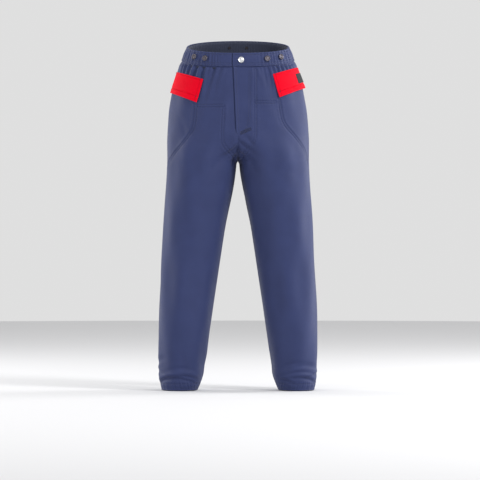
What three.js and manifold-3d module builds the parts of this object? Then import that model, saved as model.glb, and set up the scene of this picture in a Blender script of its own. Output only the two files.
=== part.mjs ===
// Chainsaw trousers: hollow, standing open as worn. Millimetres, +Z up, the front faces -Y,
// +X is the wearer's left. The origin is the centre of the waist opening.
//
// Every cloth piece is a slab on one garment surface: a closed sheet between two levels, which are
// distances from that surface, positive outwards. Rows of the surface run round a leg or the hips.
import * as THREE from 'three';
import { mergeVertices } from 'three/addons/utils/BufferGeometryUtils.js';
import Module from 'manifold-3d';

const wasm = await Module();
wasm.setup();

// ---- driving dimensions ------------------------------------------------------------------
const INSEAM = 638; // hem to crotch
const RISE = 322; // crotch to the waist line at the side
const WAIST = { halfWidth: 141, front: 97, back: 103 };
const HIP = { halfWidth: 198, back: 129 };
const BELLY_SLOPE = 0.05; // how much further forward the front lies for each mm down
const WAIST_TILT = 0.21; // how much higher the waist is for each mm further back
const HIP_CENTRE_Y = 5;
const FRONT_ROUNDNESS = 2.15; // exponent of the hip outline, 2 is an ellipse
const LEG_ROUNDNESS = 2.15;
const SEAM_GAP = 0.4; // between cloth pieces that are sewn edge to edge
const FOLD_GAP = 1.8; // between the band and its end, which turns on the fold line
const EDGE_GAP = 1; // beside the free edge of the fly, which swings out
const CLEARANCE = 0.4; // between layers that lie on each other
const EASE = 2; // between layers that are cut to different lines
const CLOTH = 1.2; // outer cloth
const BAND_HEIGHT = 38;
const BAND_TUCK = 8; // how far the leg panels run up inside the band
const FLY_LENGTH = 221; // top of the band to the bottom of the fly
const FLY_UNDER = 15; // free edge of the overlap to the centre, at the top
const FLY_OVER = 50; // fold line of the overlap to the centre, at the top
const FLY_FOOT = 5; // free edge to the centre, at the bottom
const PAD = { cover: 1.1, core: 5.6, backing: 1.1, top: -160, hemSpace: 72 };
const POCKET_DEPTH = 8.5; // hollow between the leg panel and the pocket bag
const LINING = { thick: 0.9, ease: 3.6, hemEase: 0.7, top: -48, hemSpace: 34 };
const HEM_HEIGHT = 22;
const ZIP = { length: 174, depth: 7.4, tooth: 2, pitch: 6 };
const ELASTIC = 1.3;
const UNDERLAP_SHORT = 14; // the end of the facing stops this far short of the fold line
const STUD = { x: 9, radius: 8.5, part: 6, knob: 2.2 };
const BUTTON = { radius: 8, shank: 3, height: 5, tack: 4, frontX: [-121, -92, 82, 119], backAngle: 0.25 };
const LABEL = { across: [0.06, 0.42], down: [0.27, 0.74], thick: 0.6 }; // shares of the flap's width and drop
const sides = [[1, 'left'], [-1, 'right']];

// ---- levels, outermost first -------------------------------------------------------------
const bandOuter = 2.2;
const bandInner = 1.0;
const padOuter = -CLOTH - EASE;
const coreOuter = padOuter - PAD.cover - CLEARANCE;
const backingOuter = coreOuter - PAD.core - CLEARANCE;
const padInner = backingOuter - PAD.backing;
const bagOuter = -CLOTH - POCKET_DEPTH;
const shieldOuter = -(ZIP.depth + 2.9);
const liningOuter = Math.min(padInner, bagOuter - CLOTH, shieldOuter - CLOTH) - LINING.ease;
const facingOuter = -2.4;
const facingInner = facingOuter - CLOTH;

// ---- the garment surface -----------------------------------------------------------------
const CROTCH = -RISE;
const HEM = -RISE - INSEAM;
const FLY_BOTTOM = -WAIST_TILT * WAIST.front - FLY_LENGTH;
const blendLow = CROTCH - 10;
const blendHigh = FLY_BOTTOM + 4;

// Half width of the hips: [share of the rise above the crotch, distance from the centre].
const hipWidths = [
  [-0.06, HIP.halfWidth + 1],
  [0.14, HIP.halfWidth + 1],
  [0.28, HIP.halfWidth - 1],
  [0.44, HIP.halfWidth - 5],
  [0.55, HIP.halfWidth - 11],
  [0.66, HIP.halfWidth - 18],
  [0.75, WAIST.halfWidth + 31],
  [0.83, WAIST.halfWidth + 23],
  [0.89, WAIST.halfWidth + 14],
  [1, WAIST.halfWidth],
  [1.09, WAIST.halfWidth - 6],
];
// Depth of the seat behind the centre: [share of the rise above the crotch, depth].
const seatDepths = [
  [0, HIP.back - 15],
  [0.19, HIP.back - 5],
  [0.35, HIP.back],
  [0.5, HIP.back],
  [0.66, HIP.back - 5],
  [0.81, WAIST.back + 13],
  [0.94, WAIST.back + 4],
  [1.08, WAIST.back - 4],
];
// Leg outline: [share of the inseam above the hem, outer x, inner x, front depth, back depth].
const legStations = [
  [0, 214, 113, 52, 70],
  [0.053, 219, 101, 58, 76],
  [0.263, 222, 80, 68, 90],
  [0.685, 210, 40, 82, 94],
  [0.965, 199, 7, 102, 112],
  [1.13, 197, 3, 109, 124],
];

const mix = (a, b, t) => a + (b - a) * t;
const clamp01 = (t) => Math.min(1, Math.max(0, t));
const smooth = (a, b, value) => {
  const t = clamp01((value - a) / (b - a));
  return t ** 3 * (t * (6 * t - 15) + 10);
};
const degrees = (angle) => (angle * Math.PI) / 180;

// A smooth curve through the stations, level past both ends.
function through(stations, at, column = 1) {
  const last = stations.length - 1;
  if (at <= stations[0][0]) return stations[0][column];
  if (at >= stations[last][0]) return stations[last][column];
  const i = stations.findIndex((s, k) => k < last && at < stations[k + 1][0]);
  const slope = (k) => {
    const a = stations[Math.max(0, k - 1)];
    const b = stations[Math.min(last, k + 1)];
    return (b[column] - a[column]) / (b[0] - a[0]);
  };
  const [a, b] = [stations[i], stations[i + 1]];
  const span = b[0] - a[0];
  const t = (at - a[0]) / span;
  const t2 = t * t;
  const t3 = t2 * t;
  return (2 * t3 - 3 * t2 + 1) * a[column] + (t3 - 2 * t2 + t) * span * slope(i)
    + (3 * t2 - 2 * t3) * b[column] + (t3 - t2) * span * slope(i + 1);
}

const frontDepth = (z) => WAIST.front - BELLY_SLOPE * z;

function hipOutline(z) {
  const at = (z - CROTCH) / RISE;
  return {
    x: 0,
    y: HIP_CENTRE_Y,
    half: through(hipWidths, at),
    front: frontDepth(z) + HIP_CENTRE_Y,
    back: through(seatDepths, at) - HIP_CENTRE_Y,
    power: FRONT_ROUNDNESS,
  };
}

function legOutline(z) {
  const at = (z - HEM) / INSEAM;
  const [outer, inner, front, back] = [1, 2, 3, 4].map((c) => through(legStations, at, c));
  const y = (back - front) / 2;
  return { x: (outer + inner) / 2, y, half: (outer - inner) / 2, front: front + y, back: back - y,
    power: LEG_ROUNDNESS };
}

// Distance from (x, y) along (dx, dy) to an outline, by halving an interval.
function reach(outline, x, y, dx, dy) {
  let [near, far] = [0, 500];
  for (let k = 0; k < 26; k += 1) {
    const middle = (near + far) / 2;
    const px = Math.abs(x + dx * middle - outline.x) / outline.half;
    const py = y + dy * middle - outline.y;
    const depth = Math.abs(py) / (py < 0 ? outline.front : outline.back);
    if (px ** outline.power + depth ** outline.power < 1) near = middle;
    else far = middle;
  }
  return near;
}

// A point of the garment. theta is 0 at the side seam, 90 degrees at the front, -90 at the back.
function surface(side, theta, z) {
  const share = smooth(blendLow, blendHigh, z);
  const leg = legOutline(z);
  const hip = hipOutline(z);
  const x = mix(leg.x, hip.half / 2, share);
  const y = mix(leg.y, HIP_CENTRE_Y, share);
  const [dx, dy] = [Math.cos(theta), -Math.sin(theta)];
  const legReach = share < 1 ? reach(leg, x, y, dx, dy) : 0;
  const hipReach = share > 0 ? reach(hip, x, y, dx, dy) : 0;
  const r = mix(legReach, hipReach, share);
  return new THREE.Vector3(side * (x + dx * r), y + dy * r, z);
}

// The point at a level off any surface of two parameters; flip is 1 or -1 for the way it faces.
function offset(at, a, b, level, flip) {
  const da = at(a + 0.01, b).sub(at(a - 0.01, b));
  const db = at(a, b + 0.5).sub(at(a, b - 0.5));
  return at(a, b).addScaledVector(db.cross(da).normalize(), flip * level);
}

const tiltAt = (row) => WAIST_TILT * smooth(FLY_BOTTOM + 22, -0.19 * RISE, row);

// Rows are level low down and follow the tilted waist line high up.
function heightOf(row, at) {
  let z = row;
  for (let k = 0; k < 4; k += 1) z = row + tiltAt(row) * at(z).y;
  return z;
}

function garmentPoint(side, theta, row, level) {
  const z = heightOf(row, (height) => surface(side, theta, height));
  return offset((t, h) => surface(side, t, h), theta, z, level, side);
}

// The same surface over the belly, by distance x from the centre.
function bellyY(x, z) {
  const { half, front, power } = hipOutline(z);
  return HIP_CENTRE_Y - front * (1 - Math.abs(x / half) ** power) ** (1 / power);
}

const onBelly = (x, z) => new THREE.Vector3(x, bellyY(x, z), z);
const bellyAt = (x, z, level) => offset(onBelly, x, z, level, -1);
const bellyHeight = (x, row) => heightOf(row, (z) => onBelly(x, z));
const bellyPoint = (x, row, level) => bellyAt(x, bellyHeight(x, row), level);

// The same surface round the waist, by angle from the wearer's left through the front.
function waistPoint(phi, row, level) {
  const at = (angle, z) => {
    const [dx, dy] = [Math.cos(angle), -Math.sin(angle)];
    const r = reach(hipOutline(z), 0, HIP_CENTRE_Y, dx, dy);
    return new THREE.Vector3(dx * r, HIP_CENTRE_Y + dy * r, z);
  };
  return offset(at, phi, heightOf(row, (z) => at(phi, z)), level, 1);
}

const waistAngle = (x, row) => Math.atan2(HIP_CENTRE_Y - bellyY(x, bellyHeight(x, row)), x);

// The angle where the surface crosses a distance x from the centre, in front or behind.
function angleAt(x, z, facing) {
  let [low, high] = [degrees(20), Math.PI];
  for (let k = 0; k < 30; k += 1) {
    const middle = (low + high) / 2;
    if (surface(1, facing * middle, z).x > x) low = middle;
    else high = middle;
  }
  return facing * low;
}

// ---- meshes ------------------------------------------------------------------------------
const trousers = new THREE.Group();
const colours = {
  navy: [0x3d456f, 0.85, 0],
  navyDark: [0x2c3354, 0.9, 0],
  red: [0xd2122b, 0.8, 0],
  label: [0x26282b, 0.8, 0],
  knit: [0xd9d4c4, 0.95, 0],
  fibre: [0xe9e6da, 1, 0],
  lining: [0x23262e, 0.9, 0],
  elastic: [0xe6e6e6, 0.9, 0],
  thread: [0x262c49, 0.8, 0],
  tape: [0x2b3150, 0.9, 0],
  zipMetal: [0x8c7a4c, 0.35, 1],
  silver: [0xc9ccd0, 0.25, 1],
  bronze: [0x5f5b45, 0.45, 1],
};

function add(name, geometry, colour, parent = trousers) {
  const [color, roughness, metalness] = colours[colour];
  const mesh = new THREE.Mesh(geometry, new THREE.MeshStandardMaterial({ color, roughness, metalness }));
  mesh.name = name;
  parent.add(mesh);
  return mesh;
}

function fromLists(points, triangles) {
  let volume = 0;
  for (const [a, b, c] of triangles) volume += points[a].dot(points[b].clone().cross(points[c]));
  const geometry = new THREE.BufferGeometry();
  geometry.setAttribute('position', new THREE.Float32BufferAttribute(points.flatMap((p) => p.toArray()), 3));
  geometry.setIndex(triangles.flatMap(([a, b, c]) => (volume < 0 ? [a, c, b] : [a, b, c])));
  return geometry;
}

// A closed sheet: point(u, v, level) at every u and v, between two levels, which may vary with u and v.
function slab(us, vs, point, outer, inner) {
  const level = (value, u, v) => (typeof value === 'function' ? value(u, v) : value);
  const points = [outer, inner].flatMap((value) => vs.flatMap((v) => us.map((u) => point(u, v, level(value, u, v)))));
  const [nu, nv] = [us.length, vs.length];
  const id = (layer, j, i) => layer * nu * nv + j * nu + i;
  const triangles = [];
  const quad = (a, b, c, d) => triangles.push([a, b, c], [a, c, d]);
  for (let j = 0; j + 1 < nv; j += 1) {
    for (let i = 0; i + 1 < nu; i += 1) {
      quad(id(0, j, i), id(0, j, i + 1), id(0, j + 1, i + 1), id(0, j + 1, i));
      quad(id(1, j, i), id(1, j + 1, i), id(1, j + 1, i + 1), id(1, j, i + 1));
    }
    quad(id(0, j, 0), id(0, j + 1, 0), id(1, j + 1, 0), id(1, j, 0));
    quad(id(0, j, nu - 1), id(1, j, nu - 1), id(1, j + 1, nu - 1), id(0, j + 1, nu - 1));
  }
  for (let i = 0; i + 1 < nu; i += 1) {
    quad(id(0, 0, i), id(1, 0, i), id(1, 0, i + 1), id(0, 0, i + 1));
    quad(id(0, nv - 1, i), id(0, nv - 1, i + 1), id(1, nv - 1, i + 1), id(1, nv - 1, i));
  }
  return fromLists(points, triangles);
}

// A closed band all the way round: point(u, v, level) with u going once round from 0 to 1.
function hoop(count, vs, point, outer, inner) {
  const us = Array.from({ length: count }, (_, i) => i / count);
  const points = [outer, inner].flatMap((level) => vs.flatMap((v) => us.map((u) => point(u, v, level))));
  const id = (layer, j, i) => layer * count * vs.length + j * count + (i % count);
  const triangles = [];
  const quad = (a, b, c, d) => triangles.push([a, b, c], [a, c, d]);
  for (let i = 0; i < count; i += 1) {
    for (let j = 0; j + 1 < vs.length; j += 1) {
      quad(id(0, j, i), id(0, j, i + 1), id(0, j + 1, i + 1), id(0, j + 1, i));
      quad(id(1, j, i), id(1, j + 1, i), id(1, j + 1, i + 1), id(1, j, i + 1));
    }
    const top = vs.length - 1;
    quad(id(0, 0, i), id(1, 0, i), id(1, 0, i + 1), id(0, 0, i + 1));
    quad(id(0, top, i), id(0, top, i + 1), id(1, top, i + 1), id(1, top, i));
  }
  return fromLists(points, triangles);
}

const steps = (from, to, count) => Array.from({ length: count + 1 }, (_, i) => mix(from, to, i / count));

// The rows in order, with more between any two that lie further apart than a span.
function filled(rows, span) {
  const ordered = [...rows].sort((a, b) => a - b).filter((row, i, all) => i === 0 || row - all[i - 1] > 0.5);
  return ordered.flatMap((row, i) => {
    if (i === 0) return [row];
    const count = Math.ceil((row - ordered[i - 1]) / span);
    return steps(ordered[i - 1], row, count).slice(1);
  });
}

function toSolid(geometry) {
  const plain = geometry.clone();
  plain.deleteAttribute('normal');
  plain.deleteAttribute('uv');
  const merged = mergeVertices(plain, 1e-4);
  return new wasm.Manifold(new wasm.Mesh({
    numProp: 3,
    vertProperties: new Float32Array(merged.attributes.position.array),
    triVerts: new Uint32Array(merged.index.array),
  }));
}

function fromSolid(solid) {
  const { vertProperties, triVerts } = solid.getMesh();
  const geometry = new THREE.BufferGeometry();
  geometry.setAttribute('position', new THREE.BufferAttribute(vertProperties, 3));
  geometry.setIndex(new THREE.BufferAttribute(triVerts, 1));
  return geometry;
}

function box(low, high) {
  const size = high.map((value, k) => value - low[k]);
  const centre = high.map((value, k) => (value + low[k]) / 2);
  return new THREE.BoxGeometry(...size).translate(...centre);
}

// ---- fly lines ---------------------------------------------------------------------------
const bandTopFront = -WAIST_TILT * WAIST.front;
const flyShare = (z) => (z - FLY_BOTTOM) / (bandTopFront - FLY_BOTTOM);
const freeEdge = (z) => -mix(FLY_FOOT, FLY_UNDER, flyShare(z));
const foldLine = (z) => mix(0, FLY_OVER, flyShare(z));

// Inner edge of a front panel: the inseam, the centre seam, then the side of the fly.
function frontEdge(side, row) {
  const z = bellyHeight(0, row);
  let x = SEAM_GAP / 2;
  if (z >= FLY_BOTTOM) x = side > 0 ? foldLine(z) + SEAM_GAP : EDGE_GAP - freeEdge(z);
  return edgeAngle(side, row, x, 1);
}

function edgeAngle(side, row, x, facing) {
  const inseam = facing * (Math.PI - 0.0022);
  if (surface(1, inseam, row).x > x && row < CROTCH + 40) return inseam;
  let z = row;
  let angle = 0;
  for (let k = 0; k < 4; k += 1) {
    angle = angleAt(x, z, facing);
    z = row + tiltAt(row) * surface(1, angle, z).y;
  }
  return angle;
}

// ---- leg panels --------------------------------------------------------------------------
const SIDE_SEAM = 0.0022; // half the gap at the side seam, as an angle
const legRows = [0, 0.035, 0.11, 0.26, 0.45, 0.64, 0.82, 0.93, 0.975].map((s) => HEM + s * INSEAM);
const crotchRows = [-6, 0, 5, 12, 22, 36, 56].map((d) => CROTCH + d);
const hipRows = [-200, PAD.top, -130, -100, -78, -60, -45, -BAND_HEIGHT + BAND_TUCK];
const riseRows = filled([...crotchRows, FLY_BOTTOM - 2, FLY_BOTTOM, ...hipRows], 45);
const panelRows = [...legRows, ...riseRows];
const columns = steps(0, 1, 10);

function panel(side, facing) {
  const edge = (row) => (facing > 0 ? frontEdge(side, row) : edgeAngle(side, row, SEAM_GAP / 2, -1));
  const edges = new Map(panelRows.map((row) => [row, edge(row)]));
  const point = (u, row, level) => garmentPoint(side, mix(facing * SIDE_SEAM, edges.get(row), u), row, level);
  return slab(columns, panelRows, point, 0, -CLOTH);
}

// ---- hip pockets -------------------------------------------------------------------------
// The flap as seen from the front: its top and lower edges rise towards the side.
const FLAP = {
  front: 96, frontLow: 113, top: -BAND_HEIGHT - 48, low: -BAND_HEIGHT - 113, topRise: 0.3, lowRise: 0.4, behind: -0.07,
};
const flapShift = { 1: 7, [-1]: -7 }; // the wearer's left flap sits a little higher
const MOUTH = { below: 15, height: 12, front: 108, sideSpace: 14 };
const BAG = { top: -BAND_HEIGHT - 22, bottom: CROTCH + 22, ramp: 12, edge: 12, seamEase: 0.9 };

const flapTop = (side, x) => FLAP.top + flapShift[side] + FLAP.topRise * (x - FLAP.front);
const flapLow = (side, x) => FLAP.low + flapShift[side] + FLAP.lowRise * (x - FLAP.frontLow);

function flapPoint(side, u, v, level) {
  const frontX = mix(FLAP.front, FLAP.frontLow, v);
  const frontZ = mix(flapTop(side, frontX), flapLow(side, frontX), v);
  const theta = mix(FLAP.behind, angleAt(frontX, frontZ, 1), u);
  let z = frontZ;
  for (let k = 0; k < 6; k += 1) {
    const x = Math.abs(surface(side, theta, z).x);
    z = mix(flapTop(side, x), flapLow(side, x), v);
  }
  return offset((t, h) => surface(side, t, h), theta, z, level, side);
}

const flapInner = (u, v) => mix(0.6, 2.6, v);
const flapOuter = (u, v) => mix(2.0, 5.2, v ** 1.5);

// The slot that a hand goes through, cut right through the cloth under the flap.
function mouthCutter(side) {
  const at = (x, drop) => new THREE.Vector2(side * x, flapTop(side, x) - drop);
  const low = MOUTH.below + MOUTH.height;
  const far = HIP.halfWidth + 20;
  const shape = new THREE.Shape([at(MOUTH.front, MOUTH.below), at(far, MOUTH.below), at(far, low),
    at(MOUTH.front, low)]);
  const depth = 200;
  const cutter = new THREE.ExtrudeGeometry(shape, { depth, bevelEnabled: false });
  cutter.rotateX(Math.PI / 2);
  cutter.translate(0, HIP_CENTRE_Y - MOUTH.sideSpace, 0);
  return toSolid(cutter);
}

// Outer edge of the pad and inner edge of the pocket: [height, distance from the centre].
const seamTop = FLAP.low - 7;
const pocketSeam = [
  ...[[-0.12, 201], [0.02, 192], [0.27, 177], [0.47, 154], [0.61, 130], [0.73, 124], [1, 114]]
    .map(([share, x]) => [mix(CROTCH, seamTop, share), x]),
  [BAG.top, 108],
];

function bagGeometry(side) {
  const rows = [...steps(BAG.top, BAG.top - BAG.ramp, 2), ...steps(BAG.top - 40, BAG.bottom + 24, 6),
    ...steps(BAG.bottom + BAG.ramp, BAG.bottom, 1)];
  const us = [0, 0.1, 0.25, 0.45, 0.65, 0.82, 1];
  const inner = (z) => angleAt(through(pocketSeam, z) + BAG.edge, z, 1);
  const depth = (u, z) => smooth(0, 0.1, u) * smooth(0, 0.18, 1 - u)
    * smooth(0, BAG.ramp, BAG.top - z) * smooth(0, BAG.ramp * 2, z - BAG.bottom);
  const point = (u, z, level) => offset((t, h) => surface(side, t, h), mix(0.03, inner(z), u), z, level, side);
  const outer = (u, z) => -CLOTH - BAG.seamEase - (POCKET_DEPTH - BAG.seamEase) * depth(u, z);
  return slab(us, rows, point, outer, (u, z) => outer(u, z) - CLOTH * 0.8);
}

// ---- protective pad ----------------------------------------------------------------------
const padInnerLine = [
  ...[[-0.74, 8], [0.21, 15], [0.62, 43]].map(([share, x]) => [mix(CROTCH, FLY_BOTTOM, share), x]),
  [PAD.top, 46],
];
const padTopRows = filled([...crotchRows.slice(1), PAD.top], 60);

function padGeometry(side, outer, inner) {
  const rows = [HEM + PAD.hemSpace, ...legRows.slice(3), ...padTopRows];
  const limits = new Map(rows.map((z) => {
    const outside = z > pocketSeam[0][0] ? angleAt(through(pocketSeam, z) - 3, z, 1) : 0.08;
    const nearSeam = degrees(mix(164, 144, smooth(CROTCH - 160, CROTCH - 30, z)));
    const inside = z > CROTCH ? Math.min(nearSeam, angleAt(through(padInnerLine, z), z, 1)) : nearSeam;
    return [z, [outside, inside]];
  }));
  const point = (u, z, level) => garmentPoint(side, mix(...limits.get(z), u), z, level);
  return slab(steps(0, 1, 8), rows, point, outer, inner);
}

// ---- lining ------------------------------------------------------------------------------
const hemElastic = -CLOTH - 0.6;
const hemTurnUp = hemElastic - ELASTIC - CLEARANCE;

// The lining is sewn into the turn-up of the hem, and leaves it for the inside of the pad.
function liningGeometry(side) {
  const [seamLow, seamHigh] = [HEM + HEM_HEIGHT / 2, HEM + HEM_HEIGHT];
  const rows = [seamLow, seamHigh, HEM + LINING.hemSpace, HEM + PAD.hemSpace, ...legRows.slice(3),
    ...filled([...crotchRows, FLY_BOTTOM, -200, PAD.top, -110, -78, LINING.top], 45)];
  const atSeam = hemTurnUp - CLOTH - CLEARANCE - LINING.hemEase;
  const outer = (u, row) => mix(atSeam, liningOuter, smooth(seamHigh, HEM + PAD.hemSpace, row));
  const ends = new Map(rows.map((row) => [row, [edgeAngle(side, row, 0.6, -1) + 0.006,
    edgeAngle(side, row, 0.6, 1) - 0.006]]));
  const point = (u, row, level) => garmentPoint(side, mix(...ends.get(row), u), row, level);
  return slab(steps(0, 1, 18), rows, point, outer, (u, row) => outer(u, row) - LINING.thick);
}

// ---- waistband ---------------------------------------------------------------------------
const bandRows = [-BAND_HEIGHT, -BAND_HEIGHT / 2, 0];
const bandStep = degrees(7.5);

// Angles from one to another going back round the wearer's left side, on shared steps.
function roundAngles(from, to) {
  const inside = [];
  for (let k = Math.floor(from / bandStep); k * bandStep > to; k -= 1) inside.push(k * bandStep);
  const clear = inside.filter((a) => from - a > bandStep * 0.2 && a - to > bandStep * 0.2);
  return [from, ...clear, to];
}

// The line where the band turns at the fly, as an angle, for each row; later turns are negative.
const foldAngle = (row) => waistAngle(foldLine(bellyHeight(FLY_OVER, row)) + FOLD_GAP, row);
const freeAngle = (row) => waistAngle(freeEdge(bellyHeight(0, row)) - SEAM_GAP, row) - 2 * Math.PI;
const underlapAngle = (row) => waistAngle(FLY_OVER - UNDERLAP_SHORT, row) - 2 * Math.PI;

function bandSlab(from, to, rows, outer, inner) {
  const angles = roundAngles(from(rows[0]), to(rows[0]));
  const point = (index, row, level) => {
    let phi = angles[index];
    if (index === 0) phi = from(row);
    if (index === angles.length - 1) phi = to(row);
    return waistPoint(phi, row, level);
  };
  return slab(angles.map((_, i) => i), rows, point, outer, inner);
}

function waistband() {
  add('waistband', bandSlab(foldAngle, freeAngle, bandRows, bandOuter, bandInner), 'navy');
  add('waistband_facing', bandSlab(foldAngle, underlapAngle, bandRows, facingOuter, facingInner), 'navyDark');
  const elasticEnd = degrees(37.5);
  const elasticRows = [-BAND_HEIGHT + BAND_TUCK + 1.5, -BAND_HEIGHT / 2, -3];
  add('waist_elastic', bandSlab(() => elasticEnd, () => -Math.PI - elasticEnd, elasticRows,
    bandInner - 0.7, facingOuter + 0.5), 'elastic');
}

// ---- fly ---------------------------------------------------------------------------------
function flySlab(rows, outer, inner) {
  const point = (u, row, level) => {
    const z = bellyHeight(0, row);
    return bellyPoint(mix(freeEdge(z), foldLine(z), u), row, level);
  };
  return slab(steps(0, 1, 5), rows, point, outer, inner);
}

const zipTop = bellyHeight(0, -BAND_HEIGHT) - 2;
const zipFoot = zipTop - ZIP.length;
const TAPE = { thick: 0.6, inner: 4, flat: 9, rise: 17, outer: 24 };
const SHIELD = { left: 27, riseEnd: -27, riseStart: -38, right: -44 };

function zipTape(side) {
  const us = [TAPE.inner, 6.5, TAPE.flat, 11, 13, 15, TAPE.rise, 20.5, TAPE.outer];
  const outer = (x) => mix(-ZIP.depth + TAPE.thick / 2, -CLOTH - 2 * CLEARANCE, smooth(TAPE.flat, TAPE.rise, x));
  const point = (x, z, level) => bellyAt(side * x, z, level);
  return slab(us, [zipFoot, zipTop], point, outer, (x) => outer(x) - TAPE.thick);
}

function flyShield() {
  const { left, riseEnd, riseStart, right } = SHIELD;
  const us = [right, -41, ...steps(riseStart, riseEnd, 5), -14, 0, 14, left];
  const outer = (x) => mix(-CLOTH - 1.3 * CLEARANCE, shieldOuter, smooth(riseStart, riseEnd, x));
  return slab(us, steps(zipFoot + 2, zipTop, 3), bellyAt, outer, (x) => outer(x) - CLOTH);
}

// The zip runs straight down a plane: x across, y into the body, z up, from its top end.
const zipGroup = new THREE.Group();
zipGroup.position.set(0, -frontDepth(zipTop), zipTop);
zipGroup.rotation.x = -Math.atan(BELLY_SLOPE);
trousers.add(zipGroup);
const ROW = { tip: 1.3, root: 2.7, back: 3.7, thick: 2, toothHeight: 2.6 };
const zipFront = ZIP.depth - ROW.thick / 2;
const zipBack = ZIP.depth + ROW.thick / 2;
const SLIDER = { half: 5.4, length: 12, plate: 0.9, space: 0.4, at: -11 };

function toothRow(side) {
  const [top, foot] = [-4, 3 - ZIP.length];
  const points = [[ROW.back, foot], [ROW.back, top], [ROW.root, top]];
  for (let z = top - 1; z - ROW.toothHeight > foot; z -= ZIP.pitch) {
    points.push([ROW.root, z], [ROW.tip, z], [ROW.tip, z - ROW.toothHeight], [ROW.root, z - ROW.toothHeight]);
  }
  points.push([ROW.root, foot]);
  const shape = new THREE.Shape(points.map(([x, z]) => new THREE.Vector2(side * x, z)));
  return new THREE.ExtrudeGeometry(shape, { depth: ROW.thick, bevelEnabled: false })
    .rotateX(Math.PI / 2).translate(0, zipBack, 0);
}

const union = (boxes) => fromSolid(boxes.map(toSolid).reduce((a, b) => a.add(b)));
const BAIL = { half: 0.8, low: -2.2, high: 4.4, wire: 1, top: 1.8, bar: 1.2, barY: 3.4 };

function sliderGeometry() {
  const { half, length, plate, space } = SLIDER;
  const [front, back] = [zipFront - space, zipBack + space];
  const [low, high] = [-length / 2, length / 2];
  const lip = 0.7;
  const lips = [-1, 1].flatMap((side) => {
    const xs = [side * (ROW.back + 0.6), side * half].sort((a, b) => a - b);
    return [box([xs[0], front - 0.1, low], [xs[1], front + lip, high]),
      box([xs[0], back - lip, low], [xs[1], back + 0.1, high])];
  });
  const face = front - plate;
  return union([
    box([-half, face, low], [half, front, high]),
    box([-half, back, low], [half, back + plate, high]),
    box([-0.9, front - 0.1, 0], [0.9, back + 0.1, high - 1]),
    ...lips,
    box([-BAIL.half, BAIL.top, BAIL.low], [BAIL.half, face + 0.1, BAIL.low + BAIL.wire]),
    box([-BAIL.half, BAIL.top, BAIL.high - BAIL.wire], [BAIL.half, face + 0.1, BAIL.high]),
    box([-BAIL.half, BAIL.top, BAIL.low], [BAIL.half, BAIL.top + 0.7, BAIL.high]),
  ]);
}

const PULL = { half: 2.8, length: 22, thick: 1, bar: 0.5, eye: 4.3, eyeHalf: 1.5 };

function pullGeometry() {
  const { half, length, thick, bar, eye, eyeHalf } = PULL;
  const shape = new THREE.Shape();
  shape.moveTo(-half, bar).lineTo(half, bar).lineTo(half, half - length);
  shape.absarc(0, half - length, half, 0, -Math.PI, true);
  shape.closePath();
  const hole = new THREE.Path();
  hole.moveTo(-eyeHalf, -bar).lineTo(-eyeHalf, -eye).lineTo(eyeHalf, -eye).lineTo(eyeHalf, -bar).closePath();
  shape.holes.push(hole);
  return new THREE.ExtrudeGeometry(shape, { depth: thick, bevelEnabled: false, curveSegments: 6 })
    .rotateX(Math.PI / 2).translate(0, thick / 2, 0);
}

function fly() {
  const rows = [FLY_BOTTOM + SEAM_GAP, -220, -190, -160, -130, -100, -70, -50, -BAND_HEIGHT + BAND_TUCK];
  add('fly_overlap', flySlab(rows, 0, -CLOTH), 'navy');
  add('waistband_overlap_end', flySlab(bandRows, bandOuter, bandInner), 'navy');
  add('fly_shield', flyShield(), 'navyDark');
  for (const [side, name] of sides) {
    add(`zip_tape_${name}`, zipTape(side), 'tape');
    add(`zip_teeth_${name}`, toothRow(side), 'zipMetal', zipGroup);
    const xs = [side * ROW.tip, side * ROW.back].sort((a, b) => a - b);
    add(`zip_top_stop_${name}`, box([xs[0], zipFront, -3.5], [xs[1], zipBack, -1]), 'zipMetal', zipGroup);
  }
  add('zip_bottom_stop', box([-ROW.back, zipFront, -ZIP.length], [ROW.back, zipBack, 2.5 - ZIP.length]),
    'zipMetal', zipGroup);
  const slider = add('zip_slider', sliderGeometry(), 'zipMetal', zipGroup);
  slider.position.z = SLIDER.at;
  const pull = add('zip_pull', pullGeometry(), 'zipMetal', zipGroup);
  pull.position.set(0, BAIL.barY, SLIDER.at + BAIL.bar);
  const tack = (x, across, level) => bellyAt(x, mix(FLY_BOTTOM - 4, FLY_BOTTOM + 9, (x - 6) / 30) + across, level);
  add('fly_bartack', slab(steps(6, 36, 4), [-1.2, 1.2], tack, 1.1, 0.4), 'thread');
}

// ---- round hardware ----------------------------------------------------------------------
// Turned about its own y axis, which points out of the garment at the given place.
function addTurned(name, profile, place, colour, segments = 12) {
  const [centre, above] = [place(0), place(1)];
  const geometry = new THREE.LatheGeometry(profile.map(([r, y]) => new THREE.Vector2(r, y)), segments);
  const mesh = add(name, geometry, colour);
  mesh.quaternion.setFromUnitVectors(new THREE.Vector3(0, 1, 0), above.clone().sub(centre).normalize());
  mesh.position.copy(centre);
}

const middleRow = -BAND_HEIGHT / 2;

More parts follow.
